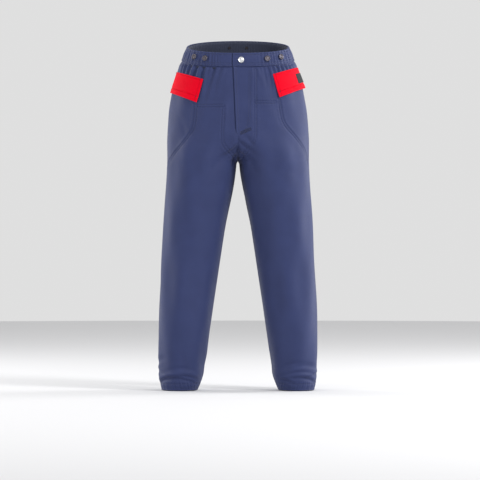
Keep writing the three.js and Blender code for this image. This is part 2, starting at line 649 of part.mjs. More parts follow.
function pressStud() {
  const place = (level) => bellyPoint(STUD.x, middleRow, level);
  const { radius, part, knob } = STUD;
  const cap = bandOuter + CLEARANCE;
  const [socketTop, socketLow] = [bandInner - CLEARANCE, bandInner - 1.9];
  const [plateTop, plateLow] = [socketLow - 0.5, facingOuter + CLEARANCE];
  addTurned('stud_cap', [[0, cap], [radius, cap], [radius, cap + 1.2], [radius - 1, cap + 2.4], [5, cap + 3],
    [0, cap + 3]], place, 'silver', 16);
  addTurned('stud_socket', [[0, socketTop - 0.6], [knob + 0.6, socketTop - 0.6], [knob + 0.6, socketLow],
    [part, socketLow], [part, socketTop], [0, socketTop]], place, 'silver');
  addTurned('stud_knob', [[0, plateLow], [part, plateLow], [part, plateTop], [knob, plateTop],
    [knob, socketTop - 0.9], [0, socketTop - 0.9]], place, 'silver');
  addTurned('stud_rivet', [[0, facingInner - CLEARANCE - 1], [part, facingInner - CLEARANCE - 1],
    [part, facingInner - CLEARANCE], [0, facingInner - CLEARANCE]], place, 'silver');
}

function braceButton(name, phi) {
  const place = (level) => waistPoint(phi, middleRow, level);
  const { radius, shank, height, tack } = BUTTON;
  const base = bandOuter + CLEARANCE;
  addTurned(`brace_button_${name}`, [[0, base], [shank, base], [shank, base + 2.2], [radius, base + 2.5],
    [radius, base + height - 0.8], [radius - 1.4, base + height], [0, base + height]], place, 'bronze');
  const back = facingInner - 1.5 * CLEARANCE;
  addTurned(`brace_tack_${name}`, [[0, back - 0.8], [tack, back - 0.8], [tack, back], [0, back]], place, 'bronze');
}

// ---- hems --------------------------------------------------------------------------------
function hem(side, name) {
  const columnsRound = 2 * (columns.length - 1);
  const point = (u, z, level) => garmentPoint(side, 2 * Math.PI * u, z, level);
  const rows = [HEM + 1.5, HEM + HEM_HEIGHT - 2];
  add(`${name}_hem_elastic`, hoop(columnsRound, rows, point, hemElastic, hemElastic - ELASTIC), 'elastic');
  add(`${name}_hem_turn_up`, hoop(columnsRound, rows, point, hemTurnUp, hemTurnUp - CLOTH), 'navyDark');
}

// ---- assembly ----------------------------------------------------------------------------
function leg(side, name) {
  add(`${name}_front_panel`, fromSolid(toSolid(panel(side, 1)).subtract(mouthCutter(side))), 'navy');
  add(`${name}_back_panel`, panel(side, -1), 'navy');
  add(`${name}_pad_cover`, padGeometry(side, padOuter, padOuter - PAD.cover), 'knit');
  add(`${name}_pad_core`, padGeometry(side, coreOuter, coreOuter - PAD.core), 'fibre');
  add(`${name}_pad_backing`, padGeometry(side, backingOuter, padInner), 'knit');
  add(`${name}_lining`, liningGeometry(side), 'lining');
  add(`${name}_pocket_bag`, bagGeometry(side), 'navyDark');
  const flapPlace = (u, v, level) => flapPoint(side, u, v, level);
  add(`${name}_pocket_flap`, slab(steps(0, 1, 8), steps(0, 1, 5), flapPlace, flapOuter, flapInner), 'red');
  hem(side, name);
}

for (const [side, name] of sides) leg(side, name);
waistband();
fly();
pressStud();
const labelLevel = (u, v) => flapOuter(u, v) + CLEARANCE;
add('flap_label', slab(steps(...LABEL.across, 5), steps(...LABEL.down, 3), (u, v, level) => flapPoint(1, u, v, level),
  (u, v) => labelLevel(u, v) + LABEL.thick, labelLevel), 'label');
BUTTON.frontX.forEach((x, i) => braceButton(`front_${i + 1}`, waistAngle(x, middleRow)));
[-1, 1].forEach((way, i) => braceButton(`back_${i + 1}`, -Math.PI / 2 + way * BUTTON.backAngle));

export default trousers;
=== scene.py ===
"""Chainsaw trousers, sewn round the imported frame: cloth, threads, zip, press stud and buttons.

Shapes are worked out in millimetres on one garment surface and become metres in the meshes.
The surface has two parameters: theta, the angle round a leg (0 at the side seam, 90 degrees at
the front, -90 at the back, 180 at the inseam), and a row, the height before the waist tilts.
A level is a distance off the surface, outwards. Shapes are made for the wearer's left and
mirrored for the right.
"""
import math

import bpy
import numpy as np
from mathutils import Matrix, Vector


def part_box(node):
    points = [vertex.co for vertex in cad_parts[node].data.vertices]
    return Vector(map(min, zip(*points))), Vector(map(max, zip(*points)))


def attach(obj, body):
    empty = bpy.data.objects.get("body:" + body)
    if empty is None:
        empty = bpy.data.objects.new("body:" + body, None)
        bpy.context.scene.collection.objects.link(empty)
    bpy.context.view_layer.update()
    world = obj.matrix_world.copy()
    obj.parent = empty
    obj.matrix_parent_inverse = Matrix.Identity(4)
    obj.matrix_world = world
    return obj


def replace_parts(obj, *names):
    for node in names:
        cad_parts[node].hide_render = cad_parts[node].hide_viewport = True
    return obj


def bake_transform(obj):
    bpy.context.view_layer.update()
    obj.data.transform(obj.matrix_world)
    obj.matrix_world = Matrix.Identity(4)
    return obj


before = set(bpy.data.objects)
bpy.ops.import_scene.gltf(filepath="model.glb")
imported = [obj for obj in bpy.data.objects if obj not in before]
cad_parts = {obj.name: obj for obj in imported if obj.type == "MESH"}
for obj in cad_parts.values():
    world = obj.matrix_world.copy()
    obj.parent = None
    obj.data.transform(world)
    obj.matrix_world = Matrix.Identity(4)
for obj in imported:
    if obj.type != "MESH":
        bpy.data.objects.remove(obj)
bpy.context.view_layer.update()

MM = 0.001
DEG = math.pi / 180
SIDES = ((1, "left"), (-1, "right"))


def top_of(node):
    """Height of a CAD node's highest point, in millimetres."""
    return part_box(node)[1].z / MM


def foot_of(node):
    """Height of a CAD node's lowest point, in millimetres."""
    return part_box(node)[0].z / MM


# ---- driving dimensions, millimetres -------------------------------------------------------
HEM = foot_of("left_back_panel")
RISE = 322
CROTCH = -RISE
INSEAM = CROTCH - HEM
WAIST_HALF, WAIST_FRONT, WAIST_BACK = 141, 97, 103
HIP_HALF, HIP_BACK = 198, 129
BELLY_SLOPE = 0.05
WAIST_TILT = 0.21
CENTRE_Y = 5
ROUNDNESS = 2.15
BAND = 38
FLY_LENGTH = 221
FLY_UNDER, FLY_OVER, FLY_FOOT = 15, 50, 5
PAD_TOP = -160
CLOTH = 1.2
BAND_OUTER, FACING_OUTER, LINING_LEVEL = 2.2, -2.4, -15.4
ZIP_DEPTH = 7.4
BAND_TOP_FRONT = -WAIST_TILT * WAIST_FRONT
FLY_BOTTOM = BAND_TOP_FRONT - FLY_LENGTH
BLEND_LOW, BLEND_HIGH = CROTCH - 10, FLY_BOTTOM + 4
ZIP_TOP = top_of("zip_tape_left")
ZIP_FOOT = foot_of("zip_tape_left")

# Half width of the hips and depth of the seat: [share of the rise above the crotch, size].
HIP_WIDTHS = [
    [-0.06, HIP_HALF + 1], [0.14, HIP_HALF + 1], [0.28, HIP_HALF - 1], [0.44, HIP_HALF - 5],
    [0.55, HIP_HALF - 11], [0.66, HIP_HALF - 18], [0.75, WAIST_HALF + 31], [0.83, WAIST_HALF + 23],
    [0.89, WAIST_HALF + 14], [1, WAIST_HALF], [1.09, WAIST_HALF - 6],
]
SEAT_DEPTHS = [
    [0, HIP_BACK - 15], [0.19, HIP_BACK - 5], [0.35, HIP_BACK], [0.5, HIP_BACK],
    [0.66, HIP_BACK - 5], [0.81, WAIST_BACK + 13], [0.94, WAIST_BACK + 4], [1.08, WAIST_BACK - 4],
]
# Leg outline: [share of the inseam above the hem, outer x, inner x, front depth, back depth].
LEG_STATIONS = [
    [0, 214, 113, 52, 70], [0.053, 219, 101, 58, 76], [0.263, 222, 80, 68, 90],
    [0.685, 210, 40, 82, 94], [0.965, 199, 7, 102, 112], [1.13, 197, 3, 109, 124],
]


# ---- the garment surface -------------------------------------------------------------------
def mix(a, b, t):
    return a + (b - a) * t


def smooth(a, b, value):
    """Rises from 0 at a to 1 at b, level at both ends: t cubed times (6 t squared - 15 t + 10)."""
    t = np.clip((value - a) / (b - a), 0, 1)
    return t**3 * (t * (6 * t - 15) + 10)


def bump(value, centre, width):
    """A bell of height 1 at centre: e to the minus ((value - centre) / width) squared."""
    return np.exp(-(((value - centre) / width) ** 2))


def through(stations, at, column=1):
    """Cubic Hermite curve through the stations, with slopes between neighbours, level past the ends."""
    table = np.array(stations, float)
    t, v = table[:, 0], table[:, column]
    k = np.arange(len(t))
    before, after = np.maximum(k - 1, 0), np.minimum(k + 1, len(t) - 1)
    slope = (v[after] - v[before]) / (t[after] - t[before])
    at = np.clip(at, t[0], t[-1])
    i = np.clip(np.searchsorted(t, at, side="right") - 1, 0, len(t) - 2)
    span = t[i + 1] - t[i]
    s = (at - t[i]) / span
    s2, s3 = s * s, s**3
    return ((2 * s3 - 3 * s2 + 1) * v[i] + (s3 - 2 * s2 + s) * span * slope[i]
            + (3 * s2 - 2 * s3) * v[i + 1] + (s3 - s2) * span * slope[i + 1])


def hip_outline(z):
    """Centre x and y, half width, depth in front, depth behind."""
    at = (z - CROTCH) / RISE
    front = WAIST_FRONT - BELLY_SLOPE * z + CENTRE_Y
    return 0 * z, 0 * z + CENTRE_Y, through(HIP_WIDTHS, at), front, through(SEAT_DEPTHS, at) - CENTRE_Y


def leg_outline(z):
    at = (z - HEM) / INSEAM
    outer, inner, front, back = (through(LEG_STATIONS, at, c) for c in (1, 2, 3, 4))
    y = (back - front) / 2
    return (outer + inner) / 2, y, (outer - inner) / 2, front + y, back - y


FARTHEST = 400  # longer than any distance from a leg's or the waist's middle to the cloth


def reach(outline, x, y, dx, dy):
    """Distance from (x, y) along (dx, dy) to the outline |x / half|^p + |y / depth|^p = 1, by halving."""
    cx, cy, half, front, back = outline
    near = np.zeros(np.broadcast(x, dx).shape)
    far = near + FARTHEST
    for _ in range(20):
        middle = (near + far) / 2
        py = y + dy * middle - cy
        depth = np.abs(py) / np.where(py < 0, front, back)
        inside = (np.abs(x + dx * middle - cx) / half) ** ROUNDNESS + depth**ROUNDNESS < 1
        near, far = np.where(inside, middle, near), np.where(inside, far, middle)
    return (near + far) / 2


def surface(theta, z):
    """A point of the left half: the leg outline low down, the hip outline high up, blended at the crotch."""
    theta, z = np.broadcast_arrays(np.asarray(theta, float), np.asarray(z, float))
    share = smooth(BLEND_LOW, BLEND_HIGH, z)
    leg, hip = leg_outline(z), hip_outline(z)
    x = mix(leg[0], hip[2] / 2, share)
    y = mix(leg[1], CENTRE_Y, share)
    dx, dy = np.cos(theta), -np.sin(theta)
    r = mix(reach(leg, x, y, dx, dy), reach(hip, x, y, dx, dy), share)
    return np.stack([x + dx * r, y + dy * r, z], -1)


def waist_surface(phi, z):
    """The same surface round the waist: phi is 0 at the wearer's left, 90 degrees at the front."""
    phi, z = np.broadcast_arrays(np.asarray(phi, float), np.asarray(z, float))
    dx, dy = np.cos(phi), -np.sin(phi)
    r = reach(hip_outline(z), 0 * phi, CENTRE_Y, dx, dy)
    return np.stack([dx * r, CENTRE_Y + dy * r, z], -1)


def unit(v):
    return v / np.linalg.norm(v, axis=-1, keepdims=True)


def normal_of(at, a, b):
    """Outward normal: the cross product of the surface's slopes along its two parameters."""
    across = at(a + 0.012, b) - at(a - 0.012, b)
    up = at(a, b + 0.8) - at(a, b - 0.8)
    return unit(np.cross(up, across))


def tilt_at(row):
    return WAIST_TILT * smooth(FLY_BOTTOM + 22, -0.19 * RISE, row)


def height_of(at, a, row):
    """Height where the row's tilt and the point's own y agree, found by repeating."""
    z = row + 0.0 * np.asarray(a)
    for _ in range(3):
        z = row + tilt_at(row) * at(a, z)[..., 1]
    return z


def angle_at(x, z, facing=1):
    """The angle where the left half crosses a distance x from the centre, by halving."""
    x, z = np.broadcast_arrays(np.asarray(x, float), np.asarray(z, float))
    low, high = np.full(x.shape, 20 * DEG), np.full(x.shape, math.pi)
    for _ in range(22):
        middle = (low + high) / 2
        outside = surface(facing * middle, z)[..., 0] > x
        low, high = np.where(outside, middle, low), np.where(outside, high, middle)
    return facing * (low + high) / 2


# Arc length from the side seam, tabled by height and angle for the front (1) and the back (-1).
ARC_STEP, ARC_TOP = 8.0, 50
ARC_Z = np.arange(HEM - ARC_STEP, ARC_TOP, ARC_STEP)
ARC_THETA = np.linspace(0, math.pi, 97)


def arc_table(facing):
    points = surface(facing * ARC_THETA[None, :], ARC_Z[:, None])
    steps = np.linalg.norm(np.diff(points, axis=1), axis=-1)
    return np.concatenate([np.zeros((len(ARC_Z), 1)), np.cumsum(steps, 1)], 1)


ARCS = {facing: arc_table(facing) for facing in (1, -1)}


def arc_of(theta, z, facing):
    """Arc length from the side seam to theta at height z, read from the table between its entries."""
    i = np.clip((z - ARC_Z[0]) / (ARC_Z[1] - ARC_Z[0]), 0, len(ARC_Z) - 1.001)
    j = np.clip(np.abs(theta) / ARC_THETA[1], 0, len(ARC_THETA) - 1.001)
    i0, j0 = i.astype(int), j.astype(int)
    s, t = i - i0, j - j0
    table = ARCS[facing]
    low = mix(table[i0, j0], table[i0, j0 + 1], t)
    high = mix(table[i0 + 1, j0], table[i0 + 1, j0 + 1], t)
    return mix(low, high, s)


# ---- sewing lines --------------------------------------------------------------------------
# Each line is a list of points [distance from the centre, height] seen from the front.
SEAMS = {
    1: {
        "pad_top": [[48, -157], [104, -157]],
        "pad_inner": [[48, -66], [48, -190], [48, -252], [44, -266], [15, -305], [5, -312]],
        "pocket": [[115, -152], [119, -180], [122, -200], [128, -216], [140, -232], [159, -252],
                   [178, -278], [190, -302], [197, -326]],
    },
    -1: {
        "pad_top": [[41, -167], [110, -167]],
        "pad_inner": [[40, -172], [43, -230], [44, -266], [40, -276], [15, -303], [5, -312]],
        "pocket": [[117, -158], [118, -190], [120, -212], [126, -234], [146, -262], [172, -290],
                   [186, -312], [195, -334]],
    },
}
NEEDLES = 3.2  # half the space between the two rows of a double seam
STITCH_PITCH = 4.0  # from one stitch to the next
HEM_STITCH = 19.0  # height of the needle line above the hem's edge
BAND_STITCHES = (-5.2, -BAND + 3.6, -BAND + 9.4)  # rows of the band's three needle lines
EDGE_LIFT = 2.1  # how far the overlap's free edge stands off
FLY_STITCH = [[33, -68], [33, -150], [32, -196], [27, -222], [19, -238]]


def free_edge(z):
    """The free edge of the overlap, as x."""
    return -mix(FLY_FOOT, FLY_UNDER, (z - FLY_BOTTOM) / (BAND_TOP_FRONT - FLY_BOTTOM))


def resampled(points, step):
    """Points every step along a line, with its corners rounded off by averaging neighbours."""
    points = np.array(points, float)
    length = np.r_[0, np.cumsum(np.linalg.norm(np.diff(points, axis=0), axis=1))]
    at = np.linspace(0, length[-1], max(3, int(length[-1] / step) + 1))
    fine = np.stack([np.interp(at, length, points[:, k]) for k in range(points.shape[1])], 1)
    for _ in range(3):
        fine[1:-1] = (fine[:-2] + 2 * fine[1:-1] + fine[2:]) / 4
    return fine


def shifted(line, distance):
    """The line moved sideways in its plane."""
    slope = np.gradient(line, axis=0)
    sideways = np.stack([-slope[:, 1], slope[:, 0]], 1)
    return line + distance * unit(sideways)


def to_arc(line):
    """A front-view line as [arc length from the side seam, height]."""
    theta = angle_at(line[:, 0], line[:, 1])
    return np.stack([arc_of(theta, line[:, 1], 1), line[:, 1]], 1)


ARC_SEAMS = {
    side: {name: to_arc(resampled(points, 5)) for name, points in seams.items()}
    for side, seams in SEAMS.items()
}


def near_line(line, a, z, width):
    """(distance, distance along) from each point (a, z) to a line; 99 where it is far away."""
    distance, along = np.full(a.shape, 99.0), np.zeros(a.shape)
    low, high = line.min(0) - width, line.max(0) + width
    mask = (a > low[0]) & (a < high[0]) & (z > low[1]) & (z < high[1])
    p = np.stack([a[mask], z[mask]], -1)
    best, where = np.full(len(p), 99.0), np.zeros(len(p))
    start = 0.0
    for s, e in zip(line[:-1], line[1:]):
        d = e - s
        length = np.linalg.norm(d)
        t = np.clip(((p - s) @ d) / length**2, 0, 1)
        gap = np.linalg.norm(p - s - t[:, None] * d, axis=1)
        closer = gap < best
        best, where = np.where(closer, gap, best), np.where(closer, start + t * length, where)
        start += length
    distance[mask], along[mask] = best, where
    return distance, along


# ---- folds and creases ---------------------------------------------------------------------
# Gathers under the band at the front: [x, half width, depth, length], for the left and the right.
GATHERS = {
    1: [[49, 5, 1.0, 80], [62, 4, 1.3, 50], [73, 4, 2.4, 72], [85, 4.4, 3.2, 90], [98, 4, 3.2, 60],
        [111, 4, 3.6, 70], [123, 3.6, 3.2, 50], [134, 3.4, 2.8, 42], [144, 3.2, 2.4, 36],
        [154, 3, 2.0, 34]],
    -1: [[32, 6, 0.9, 90], [50, 6.5, 3.0, 110], [68, 6.5, 4.6, 140], [83, 4, 2.2, 56], [97, 5, 4.8, 110],
         [116, 5, 5.0, 100], [134, 4.4, 3.8, 66], [147, 3.8, 3.0, 50], [157, 3.6, 3.0, 58]],
}
# Creases: [x, z, half length, half width, slope in degrees, depth], seen from the front.
CREASES = {
    1: [[16, -276, 26, 6, -38, 3.0], [30, -262, 20, 7, -58, 2.2], [9, -300, 26, 6, -76, 3.6],
        [34, -318, 34, 9, -48, 2.6], [140, -330, 60, 14, 60, 0.9], [70, -236, 40, 10, 14, 0.7],
        [126, -345, 44, 10, -8, 0.6]],
    -1: [[12, -286, 24, 6, -58, 3.0], [30, -300, 30, 8, -34, 2.4], [8, -306, 22, 6, -80, 3.2],
         [60, -330, 50, 12, -40, 1.4], [150, -300, 60, 14, 62, 1.2], [90, -215, 46, 12, -24, 0.8],
         [150, -232, 40, 9, 66, 0.9]],
}
# Creases above the hem: [place round the leg in mm from the side, height above the hem, ...].
HEM_CREASES = {
    1: [[70, 34, 46, 5, 9, 3.6], [96, 52, 34, 5, -6, 2.6], [30, 44, 26, 5, -12, 2.6],
        [128, 28, 24, 4, 12, 2.6], [60, 70, 40, 7, 5, 1.5], [112, 76, 26, 6, -14, 1.4]],
    -1: [[62, 33, 64, 5.5, 7, 5.0], [118, 40, 32, 5, -8, 3.2], [20, 52, 30, 6, -14, 2.8],
         [96, 62, 36, 7, 4, 1.7], [28, 84, 30, 7, 20, 1.9]],
}
# Gathers under the band at the back: how many, the first one's place and the space between them.
BACK_GATHERS, BACK_FIRST, BACK_SPACING = 34, 8, 8.2
# Creases under the seat and behind the knee: [place round the leg, z, ...].
BACK_CREASES = [
    [120, CROTCH - 6, 60, 12, -24, 2.0], [150, CROTCH + 26, 50, 10, -40, 1.6],
    [70, -560, 60, 9, 8, 1.8], [110, -592, 56, 10, -10, 1.7],
]
WAVES = np.random.default_rng(7).uniform(-1, 1, (14, 6))


def crease(a, z, centre_a, centre_z, half_length, half_width, slope, depth):
    """A long shallow valley: a bell across it times a wider bell along it, turned by slope."""
    c, s = math.cos(slope * DEG), math.sin(slope * DEG)
    along = (a - centre_a) * c + (z - centre_z) * s
    across = -(a - centre_a) * s + (z - centre_z) * c
    across = across + 0.0035 * along**2
    ridge = 0.45 * depth * bump(across, 1.9 * half_width, 1.2 * half_width)
    return (ridge - depth * bump(across, 0, half_width)) * bump(along, 0, half_length)


def waves(a, z, seed):
    """Broad unevenness of worn cloth: a sum of long sine waves that run mostly up and down the leg."""
    total = 0
    for k, (p, q, r, s, t, _) in enumerate(WAVES):
        across = 2 * math.pi / (62 + 46 * abs(p))
        up = 2 * math.pi / (230 + 200 * abs(q)) * (1 if r > 0 else -1)
        total = total + (0.24 + 0.12 * s) * np.sin(across * a + up * z + 3 * t + 2.4 * seed + k)
    return total


def double_seam(line, a, z):
    """Two needle grooves with puckered cloth between and beside them."""
    gap, along = near_line(line, a, z, 16)
    pucker = 1 + 0.35 * np.sin(along * 2 * math.pi / 7.5) + 0.2 * np.sin(along * 2 * math.pi / 11.3)
    grooves = bump(gap, NEEDLES, 1.5)
    return np.where(gap < 90, -1.0 * grooves + 0.5 * pucker * (bump(gap, 0, 2.2) + bump(gap, 8, 3.4)), 0)


def single_seam(gap, along, depth=0.7):
    """One needle groove with small puckers beside it."""
    pucker = 0.25 * np.sin(along * 2 * math.pi / 6.5) * bump(gap, 3.4, 2.2)
    return pucker - depth * bump(gap, 0, 1.5)


def relief(side, facing, a, z, row, x):
    """How far the outer cloth stands off the plain surface, from seams, gathers, padding and creases."""
    below = -BAND - row
    lift = waves(facing * a, z, side) * smooth(HEM, HEM + 60, z) * smooth(-40, -110, row)
    puff = 2.4 * smooth(0, 16, below) * np.exp(-np.maximum(below, 0) / 34)
    flat = 1 - bump(x, 0, 34) if facing > 0 else 1
    lift = lift + puff * flat - 0.9 * (1 - smooth(0, 7, below))
    if facing > 0:
        for place, width, depth, length in GATHERS[side]:
            centre = ARC_GATHERS[side][place] + 0.06 * below * (1 if place % 2 else -1)
            fade = 1 - smooth(0.12 * length, 1.25 * length, below)
            widen = width * (1 + below.clip(0) / 90)
            ridge = 0.5 * bump(a, centre + 2 * width, 1.3 * width)
            lift = lift + depth * fade * (ridge - 1.25 * bump(a, centre, widen))
        for name, line in ARC_SEAMS[side].items():
            lift = lift + double_seam(line, a, z) * (1 if name != "pad_inner" else smooth(-54, -70, z))
        for cx, cz, *rest in CREASES[side]:
            lift = lift + crease(a, z, ARC_CREASES[side][cx], cz, rest[0], rest[1], -rest[2], rest[3])
        # the padding fills the panel out inside its seams, with a soft ridge down the shin
        inside = smooth(0, 26, a - pad_edge(side, z)) * smooth(PAD_TOP + 4, PAD_TOP - 34, z)
        lift = lift + 1.5 * inside * smooth(HEM + 60, HEM + 110, z)
        ridge = ridge_arc(side, z)
        lift = lift + 3.2 * bump(a, ridge, 26) * smooth(-300, -420, z) * smooth(HEM + 30, HEM + 130, z)
    else:
        for k in range(BACK_GATHERS):
            centre = BACK_FIRST + BACK_SPACING * k + 3 * math.sin(2.3 * k)
            length = 34 + 20 * math.sin(1.7 * k + side)
            fade = 1 - smooth(0.1 * length, 1.3 * length, below)
            amount = fade * (1.5 + 0.8 * math.sin(3.1 * k))
            lift = lift + amount * (0.45 * bump(a, centre + 4.1, 2.8) - 1.1 * bump(a, centre, 2.3))
        for place in BACK_CREASES:
            lift = lift + crease(a, z, *place)
    # the hem: drawn in, bunched above, with small puckers round it
    for ca, cz, *rest in HEM_CREASES[side]:
        shift = 0 if facing > 0 else 14
        lift = lift + crease(a, z, ca + shift, HEM + cz, rest[0], rest[1], facing * rest[2], rest[3])
    lift = lift + 2.2 * bump(z, HEM + 46, 17) + 0.9 * bump(z, HEM + 14, 7)
    wide = np.sin(a * 2 * math.pi / 13 + 2.2 * np.sin(a / 19))
    narrow = 0.6 * np.sin(a * 2 * math.pi / 7.3 + side)
    pucker = (wide + narrow) * 0.4 * bump(z, HEM + 14, 12)
    lift = lift + pucker + single_seam(z - (HEM + HEM_STITCH), a, 0.9)
    return lift


def ridge_arc(side, z):
    """Arc length where the shin's ridge runs."""
    return np.interp(z, ARC_Z, ARC_RIDGE[side])


def pad_edge(side, z):
    """Arc length of the pocket seam, which is the pad's outer edge, and of the side seam below it."""
    line = ARC_SEAMS[side]["pocket"][::-1]
    return np.interp(z, line[:, 1], line[:, 0], left=4)


def columns_at(xs, z):
    theta = angle_at(np.array(xs, float), np.full(len(xs), float(z)))
    return dict(zip(xs, arc_of(theta, np.full(len(xs), float(z)), 1)))


ARC_GATHERS = {s: columns_at([g[0] for g in GATHERS[s]], -66) for s in (1, -1)}
ARC_CREASES = {
    s: {x: float(to_arc(np.array([[x, max(z, CROTCH + 4)]], float))[0, 0]) for x, z, *_ in CREASES[s]}
    for s in (1, -1)
}
ARC_RIDGE = {
    s: arc_of(np.full(len(ARC_Z), at * DEG), ARC_Z, 1) for s, at in ((1, 88), (-1, 74))
}
END_ARCS = {
    facing: arc_of(angle_at(0.2 + 0 * ARC_Z, ARC_Z, facing), ARC_Z, facing) for facing in (1, -1)
}
FLAP_FRONT, FLAP_FRONT_LOW, FLAP_TOP, FLAP_LOW, FLAP_BEHIND = 96, 113, -BAND - 48, -BAND - 113, -0.07


def flap_top(side, x):
    return FLAP_TOP + 7 * side + 0.3 * (x - FLAP_FRONT)


def flap_low(side, x):
    return FLAP_LOW + 7 * side + 0.4 * (x - FLAP_FRONT_LOW)


def cloth_lift(side, facing, theta, z, row, x):
    """The relief, faded out at the seams that join the panels, with a groove along each seam."""
    a = arc_of(theta, z, facing)
    to_end = np.interp(z, ARC_Z, END_ARCS[facing]) - a
    sewn = 1 + 0 * z if facing < 0 else smooth(FLY_BOTTOM + 8, FLY_BOTTOM - 18, z)
    lift = relief(side, facing, a, z, row, x)
    lift = lift * smooth(-3, 12, a) * (1 - sewn * (1 - smooth(-3, 12, to_end)))
    lift = lift - 0.8 * bump(a, 0, 1.7) - 0.8 * sewn * bump(to_end, 0, 1.7)
    # flat where the band lies over it, low under the flap, flat along the fly
    lift = mix(-0.9, lift, smooth(-1, 6, -BAND - row))
    if facing > 0:
        top, low = flap_top(side, x), flap_low(side, x)
        under = smooth(top + 5, top - 2, z) * smooth(low - 3, low + 4, z)
        under = under * smooth(FLAP_FRONT - 3, FLAP_FRONT + 4, x)
        lift = mix(lift, np.minimum(0.4 * lift, 0.7), under)
        lift = lift * mix(1, 0.25, smooth(FLY_BOTTOM - 10, FLY_BOTTOM + 14, z) * smooth(34, 18, x))
    if facing > 0 and side > 0:
        edge = free_edge(z)
        along_fly = smooth(FLY_BOTTOM - 6, FLY_BOTTOM + 20, z) * smooth(-48, -62, z)
        lift = lift + EDGE_LIFT * smooth(edge + 13, edge + 1, x) * along_fly
    return lift


def cloth_point(side, facing, theta, row, level):
    """A point of the outer cloth, or of a layer that follows it, for one side of the garment."""
    z = height_of(surface, theta, row)
    point, out = surface(theta, z), normal_of(surface, theta, z)
    lift = level + cloth_lift(side, facing, theta, z, row, point[..., 0])
    result = point + out * np.asarray(lift)[..., None]
    result[..., 0] *= side
    return result, out * [side, 1, 1]


def cloth_grid(side, facing, theta, rows, level=0.0):
    """The cloth, or a layer that follows it, on a grid of angles with one row of them for each height."""
    return cloth_point(side, facing, theta, rows[:, None] + 0 * theta, level)


def row_at(theta, z):
    """The row whose tilted height is z."""
    row, y = z, surface(theta, z)[..., 1]
    for _ in range(4):
        row = z - tilt_at(row) * y
    return row


def front_point(side, line, level):
    """Points and normals of the cloth along a front-view line of [distance from the centre, height]."""
    theta = angle_at(line[:, 0], line[:, 1])
    return cloth_point(side, 1, theta, row_at(theta, line[:, 1]), level)


# ---- meshes --------------------------------------------------------------------------------
def quads_of(rows, columns, closed=False):
    """Quads of a grid of points numbered row by row; closed joins the last column to the first."""
    across = np.arange(columns if closed else columns - 1)
    a = np.arange(rows - 1)[:, None] * columns + across[None, :]
    b = np.arange(rows - 1)[:, None] * columns + (across[None, :] + 1) % columns
    return np.stack([a, b, b + columns, a + columns], -1).reshape(-1, 4)


def facing_out(points, quads, outward):
    """Turns the faces round if most of them look against the outward directions at their corners."""
    a, b, c = (points[quads[:, k]] for k in range(3))
    along = (np.cross(b - a, c - a) * outward[quads[:, 0]]).sum()
    return quads if along > 0 else quads[:, ::-1]


def closed_out(points, quads, tris=None):
    """Turns a closed shape's faces round if its volume comes out negative."""
    def volume(f):
        return (points[f[:, 0]] * np.cross(points[f[:, 1]], points[f[:, 2]])).sum()
    total = volume(quads) + volume(quads[:, [0, 2, 3]])
    if tris is not None:
        total += volume(tris)
    if total >= 0:
        return quads, tris
    return quads[:, ::-1], None if tris is None else tris[:, ::-1]


def make_mesh(name, points, quads, material, tris=None, uv=None):
    """A mesh object at the origin from points in millimetres; uv is in metres of cloth."""
    mesh = bpy.data.meshes.new(name)
    quads = np.asarray(quads).reshape(-1, 4)
    tris = np.zeros((0, 3), int) if tris is None else np.asarray(tris).reshape(-1, 3)
    loops = np.concatenate([quads.ravel(), tris.ravel()])
    starts = np.concatenate([np.arange(len(quads)) * 4, len(quads) * 4 + np.arange(len(tris)) * 3])
    mesh.vertices.add(len(points))
    mesh.vertices.foreach_set("co", (np.asarray(points, float) * MM).astype(np.float32).ravel())
    mesh.loops.add(len(loops))
    mesh.loops.foreach_set("vertex_index", loops.astype(np.int32))
    mesh.polygons.add(len(starts))
    mesh.polygons.foreach_set("loop_start", starts.astype(np.int32))
    mesh.update(calc_edges=True)
    mesh.polygons.foreach_set("use_smooth", np.ones(len(starts), bool))
    if uv is not None:
        layer = mesh.uv_layers.new(name="cloth")
        layer.data.foreach_set("uv", uv.reshape(-1, 2)[loops].astype(np.float32).ravel())
    mesh.validate()
    piece = bpy.data.objects.new(name, mesh)
    bpy.context.scene.collection.objects.link(piece)
    mesh.materials.append(material)
    return piece


def thickened(piece, thickness):
    """Gives a sheet its thickness inwards."""
    solidify = piece.modifiers.new("thickness", "SOLIDIFY")
    solidify.thickness = thickness * MM
    solidify.offset = -1
    return piece


def cloth_uv(points):
    """Cloth coordinates in metres: length along each row and length up each column."""
    across = np.linalg.norm(np.diff(points, axis=1), axis=-1)
    up = np.linalg.norm(np.diff(points, axis=0), axis=-1)
    u = np.concatenate([np.zeros((points.shape[0], 1)), np.cumsum(across, 1)], 1)
    v = np.concatenate([np.zeros((1, points.shape[1])), np.cumsum(up, 0)], 0)
    middle = points.shape[1] // 2
    v = np.repeat(v[:, middle:middle + 1], points.shape[1], 1)
    return np.stack([u, v], -1) * MM


def sheet_piece(name, points, out, material, thickness=CLOTH, drop=None):
    """A grid of points as a sheet of cloth; drop marks points whose faces are cut away."""
    rows, columns = points.shape[:2]
    flat = points.reshape(-1, 3)
    quads = facing_out(flat, quads_of(rows, columns), out.reshape(-1, 3))
    if drop is not None:
        quads = quads[~drop.ravel()[quads].all(1)]
    return thickened(make_mesh(name, flat, quads, material, uv=cloth_uv(points)), thickness)


